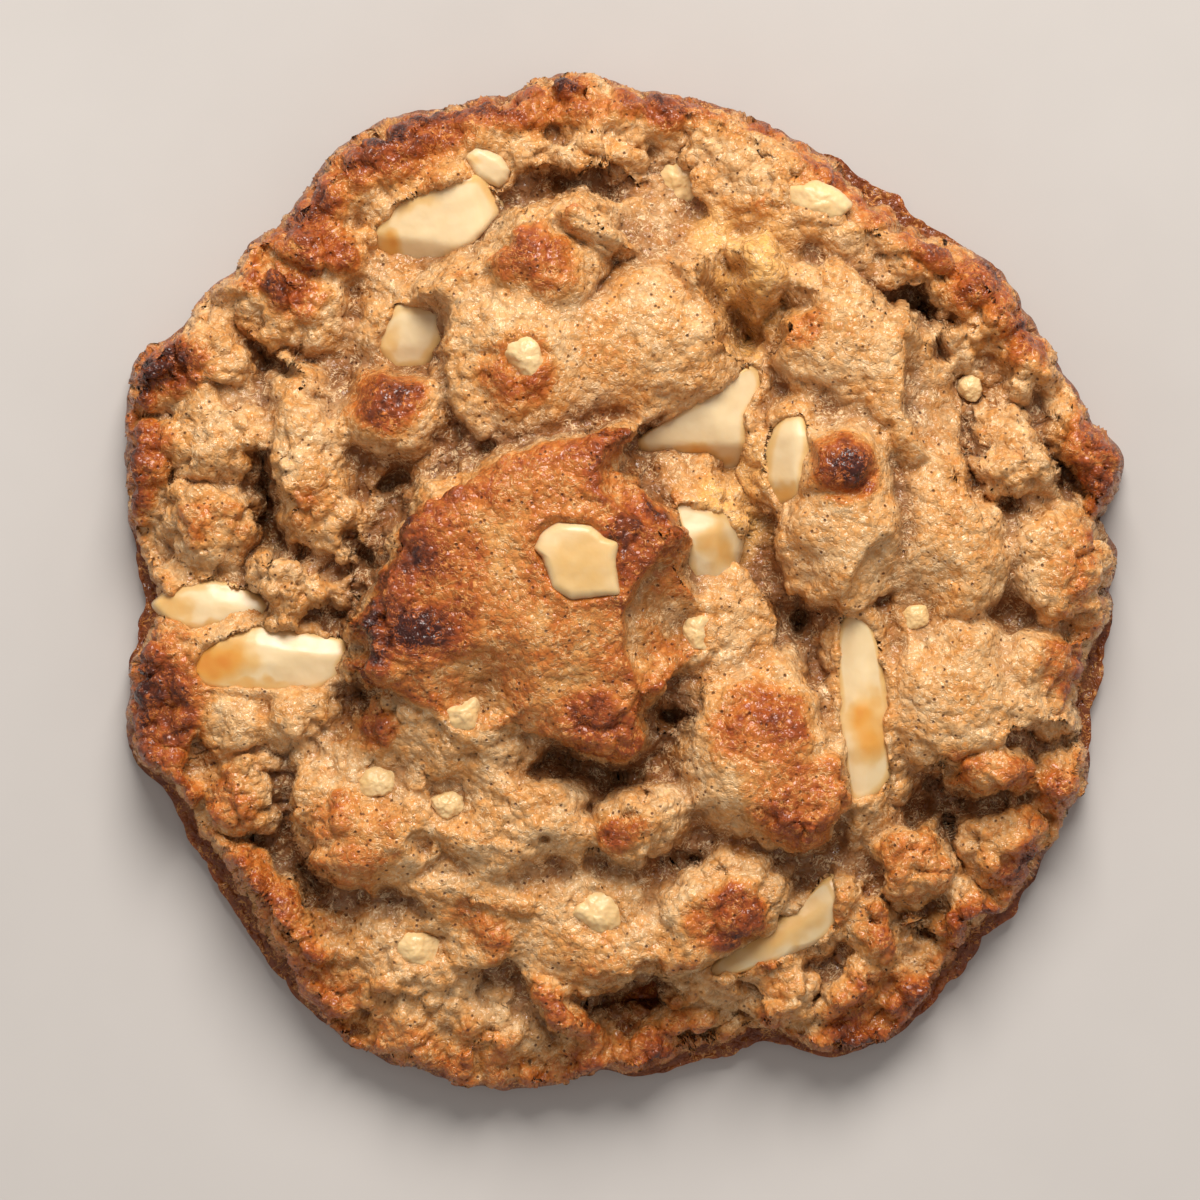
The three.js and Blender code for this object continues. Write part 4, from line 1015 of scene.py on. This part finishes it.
crownX = mapX + crown["stray"] * waves(mapX, mapY, 0 * mapX, 3.0, 2, 96)
crownY = mapY + crown["stray"] * waves(mapX, mapY, 0 * mapX, 3.0, 2, 97)
crownMask = smoothstep(insideCrown(crownX, crownY), -0.6, 0.8)
hazeBroad, hazeWide, hazeClose = blur(heightMap, 4.5), blur(heightMap, 2.2), blur(heightMap, 0.7)
slopeY, slopeX = np.gradient(hazeWide, dough["mapStep"])
steep = np.hypot(slopeX, slopeY) + 0.05

# browning: shares of the plain dough, the spots, the rim, slow and quick waves, what stands out from its
# surroundings near and far, crumb, walls and foot; how far the spots' edges stray in millimetres
bake = {
    "plain": 0.14, "spots": 0.77, "rim": 0.1, "slow": 0.17, "quick": 0.25,
    "near": 0.07, "wide": 0.12, "broad": 0.02, "crumb": 0.1, "wall": 0.3,
    "foot": 0.72, "footFade": 0.4, "stray": 1.6,
}


# the surface over places in the plan: the height map, swollen over its creases, then crumb raised along the
# normals: clusters, nods and beads of half balls, wrinkles and pores; with it the browning, the painted
# shade of low places and of the gaps between granules, and the wet stretches for the material
def doughSurface(x, y, wrap):
    z = np.clip(sample(bareMap, x, y), dough["footHeight"], rimCeiling(x, y))
    edge, slope = sample(rimShare, x, y), sample(steep, x, y)
    broad, wide, near = [sample(heightMap - haze, x, y) for haze in (hazeBroad, hazeWide, hazeClose)]
    push = crumb["bulge"] * np.clip(wide, 0, 3) * smoothstep(1 - edge, 0.0, 0.03)
    pushX, pushY = [push * sample(downhill / steep, x, y) for downhill in (slopeX, slopeY)]
    points = np.stack([x - pushX, y - pushY, z], -1)
    smooth = spots(smoothSpots, x, y, 0.5, 1.2)
    loose = 0.6 + spots(crumbSpots, x, y) + 0.45 * smoothstep(edge, 0.72, 0.95) - 0.6 * smooth
    loose = loose + 0.35 * waves(x, y, 0 * x, 11, 2, 31) + 0.6 * smoothstep(slope, 0.9, 2.0)
    loose = np.clip(loose, 0.05, 1.1)
    px, py, pz = points[..., 0], points[..., 1], points[..., 2]
    sway = [0.35 * wave(px / 2.2, py / 2.2, pz / 2.2, 60 + 5 * k) for k in range(3)]
    px, py, pz = px + sway[0], py + sway[1], pz + sway[2]
    cluster = granules(px, py, pz, crumb["clusterSize"], 71)
    nod = granules(px, py, pz, crumb["nodSize"], 72)
    bead = granules(px, py, pz, crumb["beadSize"], 74)
    hole, holeOwn = cells(px, py, pz, crumb["poreSize"], 73)
    lift = crumb["cluster"] * loose * (cluster - granuleMean)
    lift += crumb["nod"] * (0.12 + 0.88 * loose) * (nod - granuleMean)
    lift += crumb["bead"] * (0.3 + 0.7 * loose) * (bead - granuleMean)
    lift += crumb["wrinkle"] * (0.5 + 0.5 * loose) * waves(px, py, pz, crumb["wrinkleLength"], 2, 81)
    lift -= crumb["pore"] * (1 - smoothstep(hole, 0.05, 0.13)) * (holeOwn > 0.6)
    lift *= smoothstep(z, dough["footHeight"], 4.2)
    points += gridNormals(points, wrap) * lift[..., None]
    top = np.maximum(points[..., 2], 0.6)
    points[..., 2] = top

    ragX = x + bake["stray"] * waves(x, y, top, 6, 3, 93)
    ragY = y + bake["stray"] * waves(x, y, top, 6, 3, 94)
    onCrown = sample(crownMask, x, y)
    crownBrown = np.maximum(spots(crownSpots, ragX, ragY, 0.4, 1.35), crownToast)
    toast = spots(toastSpots, ragX, ragY, 0.4, 1.35) * (1 - onCrown) + crownBrown * onCrown
    toast *= 1 + bake["quick"] * waves(x, y, top, 3.5, 3, 95)
    toast = bake["plain"] + bake["spots"] * toast + bake["rim"] * smoothstep(edge, 0.8, 0.99)
    toast += bake["slow"] * waves(x, y, top, 12, 3, 91)
    toast += bake["near"] * np.clip(near, -1, 1) + bake["broad"] * np.clip(broad / 2.5, -1, 1)
    toast += bake["wide"] * np.clip(wide / 1.5, -1, 1) + bake["crumb"] * loose * (cluster - granuleMean)
    toast += bake["wall"] * smoothstep(slope, 0.8, 2.0) * waves(px, py, pz, 3, 3, 99)
    aboveFoot = smoothstep(top + 1.2 * waves(px, py, pz, 4, 2, 98), 2.2, 6)
    toast = np.maximum(toast, bake["foot"] - bake["footFade"] * aboveFoot)
    # painted shade: darker where the surface lies below its surroundings and in the gaps between granules
    paintedShade = -wide / 2.2 + np.clip(-broad / 6, 0, 0.45)
    paintedShade = np.clip(paintedShade + 0.9 * loose * (0.6 - cluster) + 0.5 * loose * (0.55 - nod), 0, 1)
    wet = spots(wetSpots, ragX, ragY, 0.3, 1.2)
    return points, {"toast": np.clip(toast, 0, 1.05), "paintedShade": paintedShade, "wet": wet}


# faces of a wall between two rings of vertices, upper and lower
def ringFaces(upper, lower):
    return np.column_stack([lower, np.roll(lower, -1), np.roll(upper, -1), upper])


# their places in the bake: a strip across the whole width, from low to high
def ringUv(count, low, high):
    left = np.arange(count) / count
    right = left + 1 / count
    corners = ((left, low), (right, low), (right, high), (left, high))
    return np.stack([np.column_stack([u, 0 * u + v]) for u, v in corners], 1)


# a shell below a ring of the grid: rings of vertices at a share of its radius and a height, then a fan
def closeBelow(ring, rim, start, levels, low, high):
    count = len(rim)
    rings = [np.column_stack([ring[:, :2] * share, np.full(count, height)]) for share, height in levels]
    lines = [rim] + [start + k * count + np.arange(count) for k in range(len(levels))]
    marks = np.linspace(high, low, len(lines) + 1)
    faces = [ringFaces(upper, lower) for upper, lower in zip(lines[:-1], lines[1:])]
    uvs = [ringUv(count, after, before) for before, after in zip(marks[:-2], marks[1:-1])]
    centre = np.full(count, start + len(levels) * count)
    faces.append(np.column_stack([np.roll(lines[-1], -1), lines[-1], centre]))
    uvs.append(ringUv(count, low, marks[-2])[:, [2, 3, 0]])
    return np.concatenate(rings + [[[0, 0, levels[-1][1]]]]), faces, uvs


# a piece of dough: centred, with its values, plain brown below the grid, and its places in the bake
def finishDough(name, points, values, faceSets, uvSets):
    points = points.copy()
    points[:, :2] -= outlineShift
    piece = makePiece(name, points, faceSets, doughSkin)
    for key, rest in (("toast", doughMesh["underBrown"]), ("paintedShade", 0.0), ("wet", 0.0)):
        top = values[key].ravel()
        addAttribute(piece, key, np.concatenate([top, np.full(len(points) - len(top), rest)]))
    layer = piece.data.uv_layers.new(name="OFBake")
    layer.data.foreach_set("uv", np.concatenate([u.reshape(-1) for u in uvSets]).astype(np.float32))
    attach(piece, "root")
    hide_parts("dough")
    print(name + ":", len(points), "vertices")


# how far a place lies beyond a joint, as a share of the overlap; the surface dives there as its square
def diveBeyond(distance):
    return doughMesh["dive"] * (np.clip(distance, 0, None) / doughMesh["overlap"]) ** 2


# the middle: square rings laid out as circles
def makeMiddle():
    reach = doughMesh["innerJoint"] + doughMesh["overlap"]
    line = np.linspace(-1, 1, doughMesh["middleCells"] + 1)
    u, v = squareToDisc(*np.meshgrid(line, line))

    def pinned(x, y):
        free = np.zeros(x.shape, bool)
        free[1:-1, 1:-1] = True
        stretch = np.where(free, 1, reach / np.maximum(np.hypot(x, y), 1e-9))
        return x * stretch, y * stretch, free

    x, y = spreadPlan(u * reach, v * reach, False, pinned)
    side = x.shape[0]
    points, values = doughSurface(x, y, False)
    points[..., 2] -= diveBeyond(np.hypot(x, y) - doughMesh["innerJoint"])
    order = np.arange(side * side).reshape(side, side)
    rim = np.concatenate([order[0, :-1], order[:-1, -1], order[-1, :0:-1], order[:0:-1, 0]])
    flat = points.reshape(-1, 3)
    levels = ((1.0, doughMesh["middleFloor"]),)
    below, faces, uvs = closeBelow(flat[rim], rim, len(flat), levels, *bakeStrips["middleShell"])
    grid = gridFaces(side, side)
    across, up = np.linspace(0, 1, side), np.linspace(bakeStrips["middleTop"], 1, side)
    place = np.stack(np.meshgrid(across, up), -1).reshape(-1, 2)
    finishDough("doughMiddle", np.concatenate([flat, below]), values, [grid, *faces], [place[grid], *uvs])


# a ring: circles from an inner radius out to an outer line; its underside and its well are shells
def makeRing(name, counts, inner, outer, isJoint, underside, wellFloor):
    angle = np.linspace(0, 2 * math.pi, counts[1], endpoint=False)[None]
    share = np.linspace(0, 1, counts[0] + 1)[:, None]
    radius = inner + (outer(angle) - inner) * share

    def pinned(x, y):
        free = np.zeros(x.shape, bool)
        free[1:-1] = True
        for row, line in ((0, lambda turn: inner), (-1, outer)):
            turn = np.arctan2(y[row], x[row])
            x[row], y[row] = line(turn) * np.cos(turn), line(turn) * np.sin(turn)
        return x, y, free

    x, y = spreadPlan(radius * np.cos(angle), radius * np.sin(angle), True, pinned)
    rows, count = x.shape
    points, values = doughSurface(x, y, True)
    fromCentre = np.hypot(x, y)
    points[..., 2] -= diveBeyond(inner + doughMesh["overlap"] - fromCentre)
    if isJoint:
        points[..., 2] -= diveBeyond(fromCentre - outer(0) + doughMesh["overlap"])
    flat = points.reshape(-1, 3)
    first, last = np.arange(count), (rows - 1) * count + np.arange(count)
    below, faces, uvs = closeBelow(flat[last], last, len(flat), underside, *bakeStrips["underside"])
    start = len(flat) + len(below)
    levels = ((1.0, wellFloor),)
    well, wellFaces, wellUvs = closeBelow(flat[first], first, start, levels, *bakeStrips["well"])
    grid = gridFaces(rows, count, True)
    # the grid's places in the bake: a quarter of the turn in each of four strips
    j, i = np.meshgrid(np.arange(count), np.arange(rows - 1))
    quarter = j * 4 // count
    left = j * 4 / count - quarter
    right = left + 4 / count
    bottom, filled = bakeStrips["quarter"] * quarter, bakeStrips["quarterFilled"]
    low, high = [bottom + filled * (i + k) / (rows - 1) for k in (0, 1)]
    corners = ((left, low), (right, low), (right, high), (left, high))
    place = np.stack([np.stack(c, -1) for c in corners], 2).reshape(-1, 4, 2)
    turned = [f[:, ::-1] for f in (grid, *wellFaces)]
    turnedUv = [u[:, ::-1] for u in (place, *wellUvs)]
    finishDough(name, np.concatenate([flat, below, well]), values, [*turned, *faces], [*turnedUv, *uvs])


overlap = doughMesh["overlap"]
makeMiddle()
makeRing("doughRing", doughMesh["ringCells"], doughMesh["innerJoint"] - overlap,
         lambda turn: doughMesh["outerJoint"] + overlap + 0 * turn, True,
         ((1.0, doughMesh["ringFloors"][1]),), doughMesh["ringFloors"][0])
makeRing("doughBorder", doughMesh["borderCells"], doughMesh["outerJoint"] - overlap, rimRadius, False,
         ((0.998, 1.3), (0.993, 0.4), (0.985, 0.0)), doughMesh["borderFloor"])


# Chunks and nuts

inclusion = {
    "nutAround": 96, "nutDown": 48, "nutPower": 2.2, "nutCuts": 3, "nutUneven": 0.13, "cutSharp": 14.0,
    "chunkAround": 144, "chunkRings": 26, "edge": 0.9, "under": 0.8, "leans": (1.03, 1.06), "gilt": 0.4,
}


# directions on a sphere, poles up and down
def sphereGrid():
    turn = np.linspace(0, 2 * math.pi, inclusion["nutAround"], endpoint=False)
    tilt = np.linspace(0, math.pi, inclusion["nutDown"] + 1)[1:-1]
    t, p = np.meshgrid(turn, tilt)
    ring = np.stack([np.sin(p) * np.cos(t), np.sin(p) * np.sin(t), np.cos(p)], -1).reshape(-1, 3)
    return np.concatenate([ring, [[0, 0, 1]], [[0, 0, -1]]])


# faces of a grid closed round its columns, with a fan to a pole above and below
def cappedFaces(rows, columns):
    first = np.arange(columns)
    last = first + (rows - 1) * columns
    top = np.column_stack([first, np.roll(first, -1), np.full(columns, rows * columns)])
    bottom = np.column_stack([np.roll(last, -1), last, np.full(columns, rows * columns + 1)])
    return [gridFaces(rows, columns, True)[:, ::-1], top, bottom]


# radius in each direction of a block with rounded corners, shaved by random planes and made uneven
def blockRadius(direction, half, power, cuts, uneven, seed):
    draw = np.random.default_rng(seed)
    sharp = inclusion["cutSharp"]
    terms = np.sum(np.abs(direction / half) ** power, axis=1) ** (-1 / power)
    total = terms ** -sharp
    for _ in range(cuts):
        normal = draw.normal(size=3) * (1, 1, 0.6)
        normal /= np.linalg.norm(normal)
        reach = np.linalg.norm(normal * half) * draw.uniform(0.62, 0.85)
        total = total + (np.clip(direction @ normal, 1e-3, None) / reach) ** sharp
    radius = total ** (-1 / sharp)
    place = direction * radius[:, None]
    return radius * (1 + uneven * waves(*(place / half.max() * 2.2).T, 1.0, 3, seed))


# a nut: the block's radius along each direction, turned and put at the middle of its solid
def makeNut(name, row, seed):
    direction = sphereGrid()
    half = np.array(row[:3]) / 2
    shape = [inclusion[key] for key in ("nutPower", "nutCuts", "nutUneven")]
    radius = blockRadius(direction, half, *shape, seed)
    points = direction * radius[:, None]
    x, y, z = points.T
    c, s = cosSin(row[3])
    turned = np.column_stack([x * c - y * s, x * s + y * c, z])
    faceSets = cappedFaces(inclusion["nutDown"] - 1, inclusion["nutAround"])
    piece = makePiece(name + "_piece", turned + middleOf(name), faceSets, nutSkin)
    addAttribute(piece, "amberAndShade", np.clip(0.2 * waves(*points.T, 4.0, 2, seed), 0, 1))
    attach(piece, "root")
    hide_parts(name)


# a chunk: circles spread out to the outline and laid on the top's height, rounded off at the edge, then a
# side that leans out a little and a flat underside
def makeChunk(name, row, seed):
    turn = np.linspace(-math.pi, math.pi, inclusion["chunkAround"], endpoint=False)
    reach = outlineReach(row, turn)
    share = np.linspace(0, 1, inclusion["chunkRings"] + 1)[1:, None]
    covered = (1 - bareness(row, turn)) * (row["lip"] > 0)
    reach = reach + inclusion["under"] * covered
    spread = share * reach * (1 + 0.02 * waves(4 * np.cos(turn), 4 * np.sin(turn), 0 * turn, 1.0, 2, seed))
    cx, cy = outlineMiddle(row)
    x, y = cx + spread * np.cos(turn), cy + spread * np.sin(turn)
    inward = (1 - share) * reach
    fromEdge = np.clip(inward, 0, inclusion["edge"])
    drop = inclusion["edge"] - np.sqrt(inclusion["edge"] ** 2 - (inclusion["edge"] - fromEdge) ** 2)
    z = chunkTop(row, x, y) - drop + 0.1 * waves(x, y, 0 * x, 2.4, 2, seed)
    layers = [np.stack([x, y, z], -1)]
    floor = row["top"] - row["depth"]
    for lean, height in zip(inclusion["leans"], (z[-1] - 1, 0 * turn + floor)):
        layers.append(np.stack([cx + (x[-1] - cx) * lean, cy + (y[-1] - cy) * lean, height], -1)[None])
    grid = np.concatenate(layers)
    rows, count = grid.shape[:2]
    poles = [[cx, cy, z[0].mean()], [cx, cy, floor]]
    points = np.concatenate([grid.reshape(-1, 3), poles])
    gilt = np.full((rows, count), inclusion["gilt"])
    gilt[:len(inward)] = inclusion["gilt"] * covered * (1 - smoothstep(inward, 0.8, 2.0))
    ragX, ragY = [points[:, k] + 1.2 * waves(*points.T, 3.0, 3, seed + 50 * k) for k in (0, 1)]
    # caramel from the spots and the gilt, with painted shade on the chunks' shaded faces from the spots
    amberAndShade = np.maximum(spots(caramelAndShadeSpots, ragX, ragY, 0.1, 1.4), np.append(gilt, [0, inclusion["gilt"]]))
    amberAndShade = np.clip(amberAndShade * (1 + 0.35 * waves(*points.T, 2.0, 2, seed)), 0, 1)
    points[:, :2] -= outlineShift
    piece = makePiece(name + "_piece", points, cappedFaces(rows, count), chocolateSkin)
    addAttribute(piece, "amberAndShade", amberAndShade)
    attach(piece, "root")
    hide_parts(name)


for k, (name, row) in enumerate(chunks.items()):
    makeChunk(name, row, 100 + k)
for k, (name, row) in enumerate(nuts.items()):
    makeNut(name, row, 200 + k)
print("chunks and nuts:", len(chunks), len(nuts))


# Floor, light and camera

studio = {
    "floor": (186, 180, 175), "floorHalf": 1500.0,
    "keyPower": 9.8, "keySize": 0.5, "keyAt": (0.05, 0.57, 0.6), "keyColour": (1.0, 0.97, 0.93),
    "sky": 0.44, "skyColour": (1.0, 0.98, 0.96, 1),
    "lens": 200.0, "sensor": 36.0, "frameWidth": 120.0, "frameCentre": (-2.0, -1.7), "viewPlane": 8.0,
}


# pale floor: one colour, a little darker and lighter in soft patches
def floorMaterial():
    n = Nodes("paleFloor")
    n.into("Base Color", n.ramp(n.noise(9, 5, 0.65), ((0.3, [c - 5 for c in studio["floor"]]),
                                                       (0.7, [c + 4 for c in studio["floor"]]))))
    n.into("Roughness", 0.85)
    return n.material


floorPoints = np.array([[-1, -1, 0], [1, -1, 0], [1, 1, 0], [-1, 1, 0]]) * studio["floorHalf"]
floorPiece = makePiece("floor", floorPoints, [np.array([[0, 1, 2, 3]])], floorMaterial(), False)

key = bpy.data.lights.new("keyLight", "AREA")
key.shape = "DISK"
key.size = studio["keySize"]
key.energy = studio["keyPower"]
key.color = studio["keyColour"]
keyObject = bpy.data.objects.new("keyLight", key)
keyObject.location = studio["keyAt"]
keyObject.rotation_euler = (-Vector(studio["keyAt"])).to_track_quat("-Z", "Y").to_euler()
bpy.context.scene.collection.objects.link(keyObject)

world = bpy.data.worlds.new("softSky")
world.use_nodes = True
world.node_tree.nodes["Background"].inputs["Color"].default_value = studio["skyColour"]
world.node_tree.nodes["Background"].inputs["Strength"].default_value = studio["sky"]
bpy.context.scene.world = world
bpy.context.scene.view_settings.view_transform = "Standard"

camera = bpy.data.cameras.new("photoCamera")
camera.lens = studio["lens"]
camera.sensor_width = studio["sensor"]
cameraObject = bpy.data.objects.new("photoCamera", camera)
rise = studio["frameWidth"] * studio["lens"] / camera.sensor_width + studio["viewPlane"]
frameX, frameY = [a - b for a, b in zip(studio["frameCentre"], outlineShift)]
cameraObject.location = (frameX * mm, frameY * mm, rise * mm)
bpy.context.scene.collection.objects.link(cameraObject)
bpy.context.scene.camera = cameraObject
